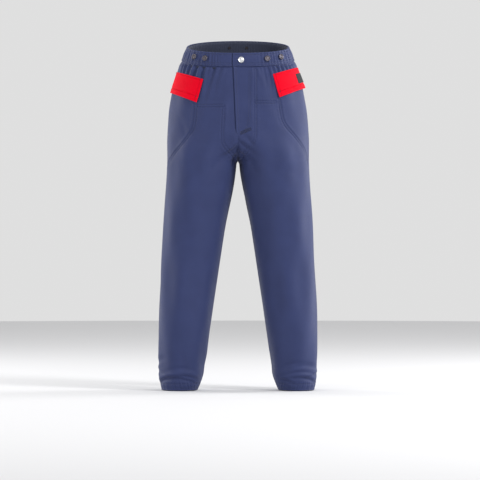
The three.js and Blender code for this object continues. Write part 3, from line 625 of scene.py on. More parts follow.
def slab_piece(name, outer, inner, material):
    """A closed sheet from two grids, joined round the rim."""
    rows, columns = outer.shape[:2]
    count = rows * columns
    grid = quads_of(rows, columns)
    ids = np.arange(count).reshape(rows, columns)
    rim = np.concatenate([ids[0], ids[1:, -1], ids[-1, -2::-1], ids[-2:0:-1, 0]])
    after = np.roll(rim, -1)
    walls = np.stack([rim, rim + count, after + count, after], -1)
    points = np.concatenate([outer.reshape(-1, 3), inner.reshape(-1, 3)])
    quads = np.concatenate([grid, grid[:, ::-1] + count, walls])
    quads, _ = closed_out(points, quads)
    uv = np.concatenate([cloth_uv(outer).reshape(-1, 2), cloth_uv(inner).reshape(-1, 2)])
    return make_mesh(name, points, quads, material, uv=uv)


def spread_rows(stops):
    """Rows from a list of [row, spacing above it]; the last row ends it."""
    rows = []
    for (low, step), (high, _) in zip(stops[:-1], stops[1:]):
        rows.extend(np.linspace(low, high, max(1, round((high - low) / step)), endpoint=False))
    return np.array([*rows, stops[-1][0]])


def even_angles(start, end, z, count, facing):
    """Angles from start to end at each height, evenly spaced along the cloth."""
    i = np.clip(np.round((z - ARC_Z[0]) / (ARC_Z[1] - ARC_Z[0])).astype(int), 0, len(ARC_Z) - 1)
    share = np.linspace(0, 1, count)
    result = np.empty((len(z), count))
    for k, index in enumerate(i):
        arcs = ARCS[facing][index]
        first, last = np.interp([abs(start[k]), abs(end[k])], ARC_THETA, arcs)
        result[k] = np.interp(mix(first, last, share), arcs, ARC_THETA)
    return facing * result


# ---- materials -----------------------------------------------------------------------------
class Signal:
    """A node socket that does maths: + - and * give Math nodes."""

    def __init__(self, tree, socket):
        self.tree, self.socket = tree, socket

    def node(self, kind, settings=None, output=0, **inputs):
        made = self.tree.nodes.new(kind)
        for key, value in (settings or {}).items():
            setattr(made, key, value)
        for key, value in inputs.items():
            numbered = key[0] == "_" and key[1:].isdigit()
            target = made.inputs[int(key[1:]) if numbered else key]
            if isinstance(value, Signal):
                self.tree.links.new(value.socket, target)
            else:
                target.default_value = value
        return Signal(self.tree, made.outputs[output])

    def math(self, operation, a, b=0.0):
        return self.node("ShaderNodeMath", {"operation": operation}, _0=a, _1=b)

    def __add__(self, other):
        return self.math("ADD", self, other)

    def __sub__(self, other):
        return self.math("SUBTRACT", self, other)

    def __mul__(self, other):
        return self.math("MULTIPLY", self, other)

    def sin(self):
        return self.math("SINE", self)

    def shade(self, low, high):
        """The colour between two colours at this share."""
        return self.node("ShaderNodeMix", {"data_type": "RGBA"}, 2, _0=self, _6=(*low, 1), _7=(*high, 1))


def new_material(name, colour, roughness, metallic=0.0, sheen=0.0, specular=0.5):
    """A material with its constants set, and the start of its signals."""
    material = bpy.data.materials.new(name)
    material.use_nodes = True
    tree = material.node_tree
    shader = tree.nodes["Principled BSDF"]
    shader.inputs["Base Color"].default_value = (*colour, 1)
    shader.inputs["Roughness"].default_value = roughness
    shader.inputs["Metallic"].default_value = metallic
    shader.inputs["Specular IOR Level"].default_value = specular
    if sheen:
        shader.inputs["Sheen Weight"].default_value = sheen
        shader.inputs["Sheen Roughness"].default_value = 0.45
    return material, Signal(tree, None), shader


def coordinates(start, flat):
    """Two cloth coordinates in metres from the piece's own map, or three from the object."""
    if flat:
        place = start.node("ShaderNodeUVMap", {"uv_map": "cloth"})
    else:
        place = start.node("ShaderNodeTexCoord", output=3)
    split = [start.node("ShaderNodeSeparateXYZ", output=k, Vector=place) for k in range(3)]
    return place, split


def link(start, signal, shader, name):
    start.tree.links.new(signal.socket, shader.inputs[name])


def bump_to(start, shader, height, distance):
    bumped = start.node("ShaderNodeBump", Strength=1.0, Distance=distance, Height=height)
    link(start, bumped, shader, "Normal")


def cloth_material(name, low, high, roughness, weave, flat=True, sheen=0.25, depth=0.00012, specular=0.25):
    """Woven or knitted cloth: fine lines from the weave, mottled a little by noise."""
    material, start, shader = new_material(name, high, roughness, sheen=sheen, specular=specular)
    place, (u, v, _) = coordinates(start, flat)
    cloudy = start.node("ShaderNodeTexNoise", Vector=place, Scale=22.0, Detail=3.0)
    fine = start.node("ShaderNodeTexNoise", Vector=place, Scale=900.0, Detail=2.0)
    if weave == "twill":
        pattern = ((u * 1150.0 + v * 1150.0) * 2 * math.pi).sin() * 0.5 + (v * 1500.0 * math.pi).sin() * 0.2
    elif weave == "knit":
        pattern = (u * 2400.0).sin() * (v * 2400.0).sin()
    elif weave == "mesh":
        pattern = (u * 1900.0).sin() * (v * 1100.0).sin() * 1.4
    elif weave == "rib":
        pattern = (v * 2600.0).sin()
    else:
        pattern = fine * 2 - 1
    share = cloudy * 0.55 + pattern * 0.16 + fine * 0.35 - 0.02
    link(start, share.shade(low, high), shader, "Base Color")
    link(start, cloudy * 0.1 + (roughness - 0.05), shader, "Roughness")
    bump_to(start, shader, pattern * 0.6 + fine * 0.5, depth)
    return material


def metal_material(name, colour, roughness, wear):
    material, start, shader = new_material(name, colour, roughness, metallic=1.0)
    place, _ = coordinates(start, False)
    cloudy = start.node("ShaderNodeTexNoise", Vector=place, Scale=420.0, Detail=4.0)
    dark = tuple(c * (1 - wear) for c in colour)
    link(start, cloudy.shade(dark, colour), shader, "Base Color")
    link(start, cloudy * 0.25 + (roughness - 0.1), shader, "Roughness")
    bump_to(start, shader, cloudy, 0.00005)
    return material


NAVY = cloth_material(
    "navy_cloth", (0.019, 0.027, 0.083), (0.034, 0.047, 0.136), 0.62, "twill", sheen=0.08, specular=0.2
)
RED = cloth_material(
    "red_cloth", (0.56, 0.0, 0.010), (0.78, 0.001, 0.018), 0.6, "twill", sheen=0.0, specular=0.04
)
RED_THREAD = cloth_material(
    "red_thread", (0.20, 0.0, 0.004), (0.34, 0.0, 0.008), 0.6, "felt", flat=False, sheen=0.0, specular=0.1
)
INNER = cloth_material("inner_cloth", (0.020, 0.024, 0.045), (0.040, 0.048, 0.085), 0.75, "twill")
MESH = cloth_material("lining", (0.030, 0.034, 0.050), (0.085, 0.095, 0.125), 0.7, "mesh", depth=0.0003)
KNIT = cloth_material("pad_knit", (0.45, 0.45, 0.42), (0.70, 0.70, 0.66), 0.8, "knit", depth=0.0003)
FIBRE = cloth_material("pad_fibre", (0.62, 0.62, 0.58), (0.88, 0.88, 0.84), 0.9, "felt", depth=0.0005)
ELASTIC = cloth_material("elastic", (0.05, 0.05, 0.055), (0.14, 0.14, 0.15), 0.7, "rib", depth=0.0002)
THREAD = cloth_material("thread", (0.010, 0.014, 0.044), (0.019, 0.026, 0.070), 0.5, "felt", flat=False)
LABEL = cloth_material(
    "label", (0.012, 0.014, 0.018), (0.026, 0.028, 0.032), 0.7, "knit", sheen=0.0, specular=0.15
)
TAPE = cloth_material("zip_tape", (0.012, 0.015, 0.030), (0.030, 0.036, 0.062), 0.7, "twill")
ZIP_METAL = metal_material("zip_metal", (0.62, 0.60, 0.56), 0.35, 0.3)
SILVER = metal_material("silver", (0.80, 0.81, 0.83), 0.24, 0.2)
BRONZE = metal_material("bronze", (0.115, 0.105, 0.125), 0.42, 0.5)


# ---- sheets' flat sizes --------------------------------------------------------------------
# The smallest share of its flat rectangle that a sheet's area is clipped to, and the smallest side in metres.
LEAST_FILL, LEAST_SIDE = 0.31, 0.01


def declare(piece, points):
    """Works out the flat area, width and length that a sheet's own rows and columns give, and returns the
    piece unchanged.
    """
    across = np.linalg.norm(np.diff(points, axis=1), axis=-1)
    up = np.linalg.norm(np.diff(points, axis=0), axis=-1)
    area = (across[:-1] * up[:, :-1]).sum() * MM * MM
    width, length = float(across.sum(1).max() * MM), float(up.sum(0).max() * MM)
    area = float(np.clip(area, LEAST_FILL * width * length, width * length))
    return piece


def in_slot(piece, nodes):
    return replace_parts(piece, *nodes) if nodes else piece


def finish_piece(piece, body, slot, *nodes):
    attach(piece, body)
    return in_slot(piece, nodes)


def cloth_layer(name, outer, inner, cloth, node, held="hung", body="garment", closed=False):
    """A layer between two grids, in place of a CAD node; cloth is (material, slot), and the slot is not used.
    """
    piece = (ring_slab if closed else slab_piece)(name, outer, inner, cloth[0])
    finish_piece(piece, body, cloth[1], node)
    return declare(piece, outer)


def bends_at_fly(piece, slot, *nodes):
    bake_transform(piece)
    return in_slot(piece, nodes)


# ---- the four panels -----------------------------------------------------------------------
# The pocket's mouth: below the flap's top, its height, its front end, its stop before the side seam.
MOUTH_BELOW, MOUTH_HEIGHT, MOUTH_FRONT, MOUTH_SIDE = 15, 12, 108, 14
PANEL_ROWS = spread_rows([[HEM + 1.5, 1.9], [HEM + 82, 4.2], [-420, 2.6], [-330, 1.8], [-BAND + 7, 1]])


def centre_edge(z):
    """Where a panel ends at the centre: just past it above the crotch, so that the seam closes."""
    return 0.2 - 1.1 * smooth(CROTCH - 12, CROTCH + 6, z)


def panel_grid(side, facing, rows, count, centre=None):
    """Rows and columns of a panel from the side seam to the centre line or to another edge."""
    if centre is None:
        edge = centre_edge(rows)
        z = height_of(surface, angle_at(edge, rows, facing), rows)
        end = angle_at(edge, z, facing)
    else:
        end = centre(rows)
    theta = even_angles(0 * rows + 0.001, end, rows, count, facing)
    return theta, cloth_grid(side, facing, theta, rows)


def overlap_end(rows):
    """The overlap's free edge above the fly's bottom, rounding in to the centre line below it."""
    z = rows + tilt_at(rows) * -WAIST_FRONT
    edge = mix(centre_edge(z), free_edge(z), smooth(FLY_BOTTOM - 7, FLY_BOTTOM + 3, z))
    return angle_at(edge, z)


def underlap_end(rows):
    z = rows + tilt_at(rows) * -WAIST_FRONT
    above = mix(3, 6, (z - FLY_BOTTOM) / FLY_LENGTH)
    edge = mix(centre_edge(z), above, smooth(FLY_BOTTOM - 5, FLY_BOTTOM + 6, z))
    return angle_at(edge, z)


def under_overlap(theta, z):
    """The right front drops below the overlap where the overlap's free edge lies over it."""
    x = surface(theta, z)[..., 0]
    edge = -free_edge(z)
    return -2.0 * smooth(edge + 3, edge - 3, x) * smooth(FLY_BOTTOM - 8, FLY_BOTTOM + 4, z)


for side, word in SIDES:
    rows = PANEL_ROWS
    theta, (points, out) = panel_grid(side, 1, rows, 128, centre=overlap_end if side > 0 else underlap_end)
    z = points[..., 2]
    if side < 0:
        drop = under_overlap(theta, z)
        points = points + out * drop[..., None]
    # the pocket's mouth, under the flap
    x = np.abs(points[..., 0])
    below = flap_top(side, x) - z
    cut = (below > MOUTH_BELOW) & (below < MOUTH_BELOW + MOUTH_HEIGHT)
    cut = cut & (x > MOUTH_FRONT) & (points[..., 1] < CENTRE_Y - MOUTH_SIDE)
    panel = sheet_piece(f"{word}_front_cloth", points, out, NAVY, drop=cut)
    if side > 0:
        bends_at_fly(panel, "navy_cloth", "left_front_panel", "fly_overlap")
    else:
        finish_piece(panel, "garment", "navy_cloth", "right_front_panel")
    declare(panel, points)
    theta, (points, out) = panel_grid(side, -1, rows, 112)
    panel = sheet_piece(f"{word}_back_cloth", points, out, NAVY)
    finish_piece(panel, "garment", "navy_cloth", f"{word}_back_panel")
    declare(panel, points)


# ---- shapes repeated or turned -------------------------------------------------------------
def stitched(name, runs, material, length=3.1, radius=0.42, rise=0.25):
    """Separate stitches along runs of (points, normals).

    Each is a spindle, thick in the middle, whose ends dip into the cloth.
    """
    centres, alongs, outs = [], [], []
    for points, out in runs:
        step = np.linalg.norm(np.diff(points, axis=0), axis=1)
        at = np.r_[0, np.cumsum(step)]
        count = max(1, int(at[-1] / STITCH_PITCH))
        place = (np.arange(count) + 0.5) * at[-1] / count
        fine = np.stack([np.interp(place, at, points[:, k]) for k in range(3)], 1)
        ahead = np.stack([np.interp(place + 0.8, at, points[:, k]) for k in range(3)], 1)
        behind = np.stack([np.interp(place - 0.8, at, points[:, k]) for k in range(3)], 1)
        centres.append(fine)
        alongs.append(unit(ahead - behind))
        outs.append(unit(np.stack([np.interp(place, at, out[:, k]) for k in range(3)], 1)))
    centre, along, out = (np.concatenate(v) for v in (centres, alongs, outs))
    side = unit(np.cross(along, out))
    out = np.cross(side, along)
    rings, spokes = 5, 6
    t = np.linspace(-1, 1, rings)
    thick = np.sqrt(np.maximum(1 - t**4, 0.12))
    angle = np.linspace(0, 2 * math.pi, spokes, endpoint=False)
    lengthwise = (t * length / 2)[None, :, None, None]
    raised = (rise - 0.45 * t**2)[None, :, None, None]
    ring = (side[:, None, None] * np.cos(angle)[None, None, :, None]
            + out[:, None, None] * np.sin(angle)[None, None, :, None])
    points = (centre[:, None, None] + along[:, None, None] * lengthwise + out[:, None, None] * raised
              + radius * thick[None, :, None, None] * ring)
    one = quads_of(rings, spokes, closed=True)
    size = rings * spokes
    quads = (one[None] + size * np.arange(len(centre))[:, None, None]).reshape(-1, 4)
    fan = np.array([[0, k, k + 1] for k in range(1, spokes - 1)])
    fans = np.concatenate([fan[:, ::-1], fan + size - spokes])
    tris = (fans[None] + size * np.arange(len(centre))[:, None, None]).reshape(-1, 3)
    flat = points.reshape(-1, 3)
    if closed_sign(flat, quads[: len(one)]) < 0:
        quads, tris = quads[:, ::-1], tris[:, ::-1]
    return make_mesh(name, flat, quads, material, tris=tris)


def closed_sign(points, quads):
    middle = points[np.unique(quads)].mean(0)
    p = points - middle
    a, b, c, d = (p[quads[:, k]] for k in range(4))
    return ((a * np.cross(b, c)).sum() + (a * np.cross(c, d)).sum())


def turned(name, profile, centre, axis, material, spokes=40):
    """A profile of (radius, height) turned about an axis; both ends close on the axis."""
    axis = unit(np.array(axis, float))
    side = unit(np.cross(axis, [0, 0, 1]))
    up = np.cross(axis, side)
    profile = np.array(profile, float)
    angle = np.linspace(0, 2 * math.pi, spokes, endpoint=False)
    ring = side[None] * np.cos(angle)[:, None] + up[None] * np.sin(angle)[:, None]
    points = centre + profile[:, 0, None, None] * ring[None] + profile[:, 1, None, None] * axis
    flat = points.reshape(-1, 3)
    quads = quads_of(len(profile), spokes, closed=True)
    ends = np.array([centre + profile[0, 1] * axis, centre + profile[-1, 1] * axis])
    k = np.arange(spokes)
    first = np.stack([0 * k + len(flat), (k + 1) % spokes, k], -1)
    base = (len(profile) - 1) * spokes
    last = np.stack([0 * k + len(flat) + 1, base + k, base + (k + 1) % spokes], -1)
    flat = np.concatenate([flat, ends])
    tris = np.concatenate([first, last])
    quads, tris = closed_out(flat - flat.mean(0), quads, tris)
    return make_mesh(name, flat, quads, material, tris=tris)


def centre_of(node):
    low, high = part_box(node)
    return np.array((low + high) / 2) / MM


# ---- the waistband -------------------------------------------------------------------------
def band_ripple(phi, row):
    """Gathers of the elasticated band: none at the centre front, full from the hips round the back."""
    x, y = np.cos(phi), np.sin(phi)
    front = np.where(y > 0, smooth(0.34, 0.62, np.abs(x)), 1)
    k = phi / (2 * math.pi)
    uneven = 1.3 * np.sin(k * 2 * math.pi * 9)
    wave = np.sin(k * 2 * math.pi * 86 + uneven) + 0.5 * np.sin(k * 2 * math.pi * 47 + 1)
    level = bump(row, -19, 14)
    return front * wave * (0.28 + 0.62 * level)


def band_grid(phi, profile, drop=0.0):
    """The band's cloth: profile is a list of (level, row) from its bottom edge over the top fold."""
    levels, rows = np.array(profile, float).T
    phi = phi[None, :] + 0 * rows[:, None]
    row = rows[:, None] + 0 * phi
    z = height_of(waist_surface, phi, row)
    out = -normal_of(waist_surface, phi, z)
    point = waist_surface(phi, z)
    out = out * np.sign((out * (point - [0, CENTRE_Y, 0])).sum(-1, keepdims=True))
    lift = levels[:, None] + band_ripple(phi, row) * smooth(-3.4, 0.4, levels)[:, None] + drop
    return point + out * lift[..., None], out


def outer_profile():
    """Needle grooves near the top and the bottom edges and a soft swell between them."""
    rows = np.linspace(-BAND + 0.2, -1.6, 44)
    swell = 0.55 * bump(rows, -18, 9)
    top, low, upper = BAND_STITCHES
    grooves = 0.5 * (bump(rows, top, 1.1) + bump(rows, low, 1.0) + bump(rows, upper, 1.0))
    levels = BAND_OUTER + swell - grooves
    levels[0] -= 0.5
    over = [(1.8, -0.6), (1.1, 0.1), (0.1, 0.35), (-1.0, 0.3), (-1.9, -0.1), (-2.3, -1.0)]
    return [*zip(levels, rows), *over]


BAND_PROFILE = outer_profile()


def phi_at(x, z=-20.0):
    """The angle round the waist where the front is x from the centre."""
    low, high = 0.2, math.pi - 0.2
    for _ in range(40):
        middle = (low + high) / 2
        if waist_surface(np.array(middle), np.array(z))[..., 0] > x:
            low = middle
        else:
            high = middle
    return (low + high) / 2


free_phi, under_phi = phi_at(-FLY_UNDER), phi_at(36)
arc = np.linspace(0.0005, free_phi, 120)
band_points, band_out = band_grid(arc, BAND_PROFILE)
band_left = sheet_piece("waistband_front_left", band_points, band_out, NAVY)
bends_at_fly(band_left, "navy_cloth", "waistband_overlap_end")
declare(band_left, band_points)

arc = np.linspace(under_phi, 2 * math.pi, 520)
sink = -(BAND_OUTER + 1.0) * smooth(free_phi + 0.05, free_phi - 0.015, arc)
band_points, band_out = band_grid(arc, BAND_PROFILE, sink[None, :])
band_rest = sheet_piece("waistband_round", band_points, band_out, NAVY)
finish_piece(band_rest, "garment", "navy_cloth", "waistband")
declare(band_rest, band_points)


def band_layer(name, levels, rows, phi, material, ripple=0.0):
    """A closed layer inside the band, between two levels and two rows."""
    made = []
    for level in levels:
        points, out = band_grid(phi, [(-9, row) for row in np.linspace(*rows, 7)], level + 9)
        made.append(points + out * (band_ripple(phi[None, :], -19.0) * ripple)[..., None])
    piece = slab_piece(name, made[0], made[1], material)
    return piece, made[0]


phi = np.linspace(math.pi - 1.05, 2 * math.pi + 1.05, 420)
piece, points = band_layer("elastic_in_band", (-0.6, -1.9), (-BAND + 8, -5), phi, ELASTIC, 0.5)
finish_piece(piece, "garment", "elastic", "waist_elastic")
declare(piece, points)
phi = np.linspace(phi_at(-24), 2 * math.pi + phi_at(58), 420)
levels = (FACING_OUTER - 0.4, FACING_OUTER - 1.5)
piece, points = band_layer("facing_in_band", levels, (-BAND - 6, -1.8), phi, INNER, 0.25)
finish_piece(piece, "garment", "inner_cloth", "waistband_facing")
declare(piece, points)


# ---- layers inside the legs ----------------------------------------------------------------
def leg_layer(name, side, rows, edges, levels, material, columns=70):
    """A closed layer that follows the outer cloth between two levels."""
    start, end = edges(rows)
    theta = even_angles(start, end, rows, columns, 1)
    outer, inner = (cloth_grid(side, 1, theta, rows, level)[0] for level in levels)
    return slab_piece(name, outer, inner, material), outer


def pad_edges(side):
    line = SEAMS[side]["pocket"]

    def edges(rows):
        zs, xs = np.array(line)[::-1, 1], np.array(line)[::-1, 0]
        outer = angle_at(np.interp(rows, zs, xs) - 3, rows)
        start = np.where(rows < zs[0], 0.08, np.maximum(outer, 0.08))
        inner = np.interp(rows, [CROTCH - 60, CROTCH, -300, -272, -250, -160], [0, 9, 17, 44, 48, 48])
        end = np.where(rows < CROTCH - 2, mix(164, 150, smooth(CROTCH - 90, CROTCH, rows)) * DEG,
                       angle_at(inner + 2, rows))
        return start, np.minimum(end, 164 * DEG)
    return edges


LINING_GAP = 0.012  # angle left free at the side seam and at the centre


def lining_edges(rows, facing):
    end = np.abs(angle_at(0.8 + 0 * rows, rows, facing))
    return 0 * rows + LINING_GAP, end - LINING_GAP


def lining_level(rows):
    """Deep inside the leg, rising to the turn-up at the hem and to the facing at the band."""
    low = mix(-5.8, LINING_LEVEL, smooth(HEM + 20, HEM + 84, rows))
    return mix(low, FACING_OUTER - 3.4, smooth(-120, -54, rows))[:, None]


# A pad's layers from the outside in, each between two levels.
PAD_LAYERS = (
    ("cover", (-3.3, -4.4), KNIT, "pad_knit"), ("core", (-4.9, -10.4), FIBRE, "pad_fibre"),
    ("backing", (-10.8, -11.9), KNIT, "pad_knit"),
)
LINING_THICK = 0.9
PAD_ROWS = spread_rows([[HEM + 72, 9], [-420, 5], [PAD_TOP - 2, 1]])
LINING_ROWS = spread_rows([[HEM + 16, 4], [HEM + 90, 9], [-400, 5], [-60, 3], [-42, 1]])
for side, word in SIDES:
    for part, levels, material, slot in PAD_LAYERS:
        piece, points = leg_layer(f"{word}_{part}", side, PAD_ROWS, pad_edges(side), levels, material)
        finish_piece(piece, "garment", slot, f"{word}_pad_{part}")
        if part == "core":
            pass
        else:
            declare(piece, points)
    front, back = (even_angles(*lining_edges(LINING_ROWS, k), LINING_ROWS, 46, k) for k in (1, -1))
    made = []
    for extra in (0, -LINING_THICK):
        level = lining_level(LINING_ROWS) + extra
        a, _ = cloth_grid(side, 1, front, LINING_ROWS, level)
        b, _ = cloth_grid(side, -1, back, LINING_ROWS, level)
        made.append(np.concatenate([b[:, ::-1], a], 1))
    cloth_layer(f"{word}_mesh_lining", *made, (MESH, "lining"), f"{word}_lining")


# ---- hems ----------------------------------------------------------------------------------
def round_leg(side, rows, levels, count=180):
    """Grid that runs right round a leg: up the back from the inseam, then over the front."""
    z = rows + 0 * levels
    grids = []
    for facing in (-1, 1):
        end = np.abs(angle_at(0.2 + 0 * z, z, facing)) - 0.002
        theta = even_angles(0 * z + 0.002, end, z, count // 2, facing)
        points, out = cloth_grid(side, facing, theta, z, levels[:, None])
        grids.append((points[:, ::-1], out[:, ::-1]) if facing < 0 else (points, out))
    return [np.concatenate([grids[0][k], grids[1][k]], 1) for k in (0, 1)]


def ring_slab(name, outer, inner, material):
    """A closed layer right round a leg, from two grids whose columns close on themselves."""
    rows, columns = outer.shape[:2]
    count = rows * columns
    grid = quads_of(rows, columns, closed=True)
    k = np.arange(columns)
    after = (k + 1) % columns
    top = (rows - 1) * columns
    rims = [np.stack([k, after, after + count, k + count], -1)[:, ::-1],
            np.stack([top + k, top + after, top + after + count, top + k + count], -1)]
    points = np.concatenate([outer.reshape(-1, 3), inner.reshape(-1, 3)])
    quads = np.concatenate([grid, grid[:, ::-1] + count, *rims])
    middle = points.mean(0)
    quads, _ = closed_out(points - middle, quads)
    uv = np.concatenate([cloth_uv(outer).reshape(-1, 2), cloth_uv(inner).reshape(-1, 2)])
    return make_mesh(name, points, quads, material, uv=uv)


for side, word in SIDES:
    # rolled edge: out over the panel's foot, round underneath and up inside
    turn = np.linspace(0, math.pi, 9)
    levels = np.concatenate([[0.1], -1.9 + 2.1 * np.cos(turn), [-4.0, -4.0, -4.0]])
    rows = HEM + np.concatenate([[4.0], 2.3 - 2.1 * np.sin(turn), [8.0, 14.0, 21.0]])
    outer, _ = round_leg(side, rows, levels)
    inward = np.concatenate([[-0.9], -1.9 + 1.3 * np.cos(turn), [-3.2, -3.2, -3.2]])
    rows = HEM + np.concatenate([[4.0], 2.5 - 1.3 * np.sin(turn), [8.0, 14.0, 21.0]])
    inner, _ = round_leg(side, rows, inward)
    cloth = (NAVY, "navy_cloth")
    cloth_layer(f"{word}_hem_roll", outer, inner, cloth, f"{word}_hem_turn_up", "gathered", closed=True)
    rows = np.linspace(HEM + 6, HEM + 17, 6)
    outer, _ = round_leg(side, rows, 0 * rows - 1.9)
    inner, _ = round_leg(side, rows, 0 * rows - 3.0)
    cloth = (ELASTIC, "elastic")
    cloth_layer(f"{word}_elastic_in_hem", outer, inner, cloth, f"{word}_hem_elastic", "stretched", closed=True)


# ---- pocket bags, flaps and label ----------------------------------------------------------
def flap_point(side, u, v, level):
    """A point of the flap: u runs from behind the side seam to the front edge, v from top to hem."""
    front_x = mix(FLAP_FRONT, FLAP_FRONT_LOW, v)
    front_z = mix(flap_top(side, front_x), flap_low(side, front_x), v)
    theta = mix(FLAP_BEHIND, angle_at(front_x, front_z), u)
    z = front_z + 0.0 * u
    for _ in range(4):
        x = np.abs(surface(theta, z)[..., 0])
        z = mix(flap_top(side, x), flap_low(side, x), v)
    point, out = surface(theta, z), normal_of(surface, theta, z)
    point = point + out * np.asarray(level)[..., None]
    return point * [side, 1, 1], out * [side, 1, 1]


def flap_level(side, u, v):
    """Lies on the trouser at the top and flares towards the hem, with a stitched hem band and soft waves."""
    flare = mix(2.6, 6.4, v**1.5) + 1.1 * v * np.sin(u * 5.1 + side) * smooth(0, 0.4, v)
    hem_line = 0.9 * bump(v, 0.76, 0.018)
    edge = 0.45 * (bump(u, 0.945, 0.012) + bump(u, 0.055, 0.012) + bump(v, 0.07, 0.014))
    return flare + 0.35 * smooth(0.77, 0.80, v) - hem_line - edge


def rounded(u, v, width_u, width_v):
    """1 inside, falling as a quarter circle to 0 at the edges."""
    gap = np.minimum(np.minimum(u, 1 - u) / width_u, np.minimum(v, 1 - v) / width_v).clip(0, 1)
    return np.sqrt(1 - (1 - gap) ** 2)


def flap_run(side, line, lift=0.0):
    """Points and normals along a run of (u, v) on the flap's face."""
    fine = resampled(line, 0.02)
    u, v = fine[:, 0], fine[:, 1]
    return flap_point(side, u, v, flap_level(side, u, v) + lift)


for side, word in SIDES:
    body = f"{word}_flap"
    u, v = np.meshgrid(np.linspace(0, 1, 110), np.linspace(0, 1, 84))
    thick = rounded(u, v, 0.012, 0.018)
    middle = flap_level(side, u, v) - 1.0
    outer, _ = flap_point(side, u, v, middle + thick)
    inner, _ = flap_point(side, u, v, middle - thick - 0.02)
    cloth_layer(f"{word}_flap_cloth", outer, inner, (RED, "red_cloth"), f"{word}_pocket_flap", body=body)
    runs = [flap_run(side, [[0.03, 0.765], [0.97, 0.765]]), flap_run(side, [[0.945, 0.05], [0.945, 0.97]]),
            flap_run(side, [[0.055, 0.05], [0.055, 0.97]]), flap_run(side, [[0.03, 0.07], [0.97, 0.07]])]
    piece = stitched(f"{word}_flap_stitches", runs, RED_THREAD, length=2.9, radius=0.38)
    finish_piece(piece, body, "red_cloth")

u, v = np.meshgrid(np.linspace(0.07, 0.42, 40), np.linspace(0.26, 0.72, 30))
across, down = (u - 0.07) / 0.35, (v - 0.26) / 0.46
thick = rounded(across, down, 0.03, 0.04)
border = 0.2 * smooth(0.05, 0.07, np.minimum(across, 1 - across))
border = border * smooth(0.08, 0.11, np.minimum(down, 1 - down))
level = flap_level(1, u, v)
outer, _ = flap_point(1, u, v, level + 0.15 + 0.65 * thick - border)
inner, _ = flap_point(1, u, v, level + 0.13 + 0 * thick)
cloth_layer("label_cloth", outer, inner, (LABEL, "label"), "flap_label", "stretched", "left_flap")
frame_line = [[0.085, 0.28], [0.405, 0.28], [0.405, 0.70], [0.085, 0.70], [0.085, 0.28]]
piece = stitched("label_stitches", [flap_run(1, frame_line, 0.7)], THREAD, length=2.4, radius=0.3)
finish_piece(piece, "left_flap", "thread")

BAG_FOOT, BAG_TOP, BAG_LEVEL, BAG_BEHIND_MOUTH = -290, -72, -4.0, 4.4
for side, word in SIDES:
    # the bag hangs inside below the mouth, and its back face shows through the mouth
    rows = np.linspace(BAG_FOOT, BAG_TOP, 110)
    front = np.interp(rows, [BAG_FOOT, -200, -135, BAG_TOP], [176, 138, 102, 102])
    theta = even_angles(0 * rows + 0.05, angle_at(front, rows), rows, 44, 1)
    z = rows[:, None] + 0 * theta
    fat = 3.0 * rounded(np.linspace(0, 1, 44)[None, :], np.linspace(0, 1, 110)[:, None], 0.25, 0.2)
    place = surface(theta, z)
    below_top = flap_top(side, place[..., 0]) - height_of(surface, theta, z)
    level = BAG_LEVEL - BAG_BEHIND_MOUTH * smooth(32, 28, below_top)
    outer, _ = cloth_point(side, 1, theta, z, level)
    inner, _ = cloth_point(side, 1, theta, z, level - 0.8 - fat)
    cloth_layer(f"{word}_bag_cloth", outer, inner, (INNER, "inner_cloth"), f"{word}_pocket_bag")


# ---- fly: shield, tapes and stitching ------------------------------------------------------
SHIELD_FROM, SHIELD_TO, SHIELD_LEVEL, SHIELD_SEWN, SHIELD_THICK = -27.0, 44.0, -10.7, -3.6, 0.9
rows = np.linspace(FLY_BOTTOM - 6, -62, 60)
share = np.linspace(0, 1, 40)
x = mix(SHIELD_FROM, SHIELD_TO, share)[None, :] + 0 * rows[:, None]
theta = angle_at(x, rows[:, None])
z = height_of(surface, theta, rows[:, None] + 0 * theta)
point, out = surface(theta, z), normal_of(surface, theta, z)
level = mix(SHIELD_LEVEL, SHIELD_SEWN, smooth(34, 43, x))
outer = (point + out * level[..., None]) * [-1, 1, 1]
inner = (point + out * (level - SHIELD_THICK)[..., None]) * [-1, 1, 1]
cloth_layer("shield_cloth", outer, inner, (INNER, "inner_cloth"), "fly_shield")

for side, word in SIDES:
    zs = np.linspace(ZIP_FOOT, ZIP_TOP, 50)
    x = np.linspace(3.9, 24, 24)[None, :] + 0 * zs[:, None]
    theta = angle_at(x, zs[:, None] + 0 * x)
    point, out = surface(theta, zs[:, None] + 0 * x), normal_of(surface, theta, zs[:, None] + 0 * x)
    level = mix(-ZIP_DEPTH + 0.3, -2.1, smooth(9, 17, x))
    outer = (point + out * level[..., None]) * [side, 1, 1]
    inner = (point + out * (level - 0.9)[..., None]) * [side, 1, 1]
    cloth_layer(f"{word}_tape_cloth", outer, inner, (TAPE, "zip_tape"), f"zip_tape_{word}", "stretched")


# ---- seams' threads ------------------------------------------------------------------------
def seam_runs(side):
    """Needle lines on the front of one side, a little above the cloth."""
    runs = []
    for name, points in SEAMS[side].items():
        line = resampled(points, 2.5)
        spread = (NEEDLES, -NEEDLES) if (name, side) != ("pad_inner", 1) else (NEEDLES,)
        for distance in spread:
            moved = shifted(line, distance)
            runs.append(front_point(side, moved[moved[:, 0] > 0.6], 0.0))
    return runs


def edge_run(side, facing, gap, low, high, at_end):
    """A needle line beside a panel's seam: gap from the side seam, or from the centre line."""
    zs = np.arange(low, high, 3.0)
    arcs = ARCS[facing][np.clip(np.round((zs - ARC_Z[0]) / ARC_STEP).astype(int), 0, len(ARC_Z) - 1)]
    ends = np.interp(zs, ARC_Z, END_ARCS[facing])
    place = np.where(at_end, ends - gap, gap)
    theta = facing * np.array([np.interp(p, a, ARC_THETA) for p, a in zip(place, arcs)])
    return cloth_point(side, facing, theta, zs, 0.0)


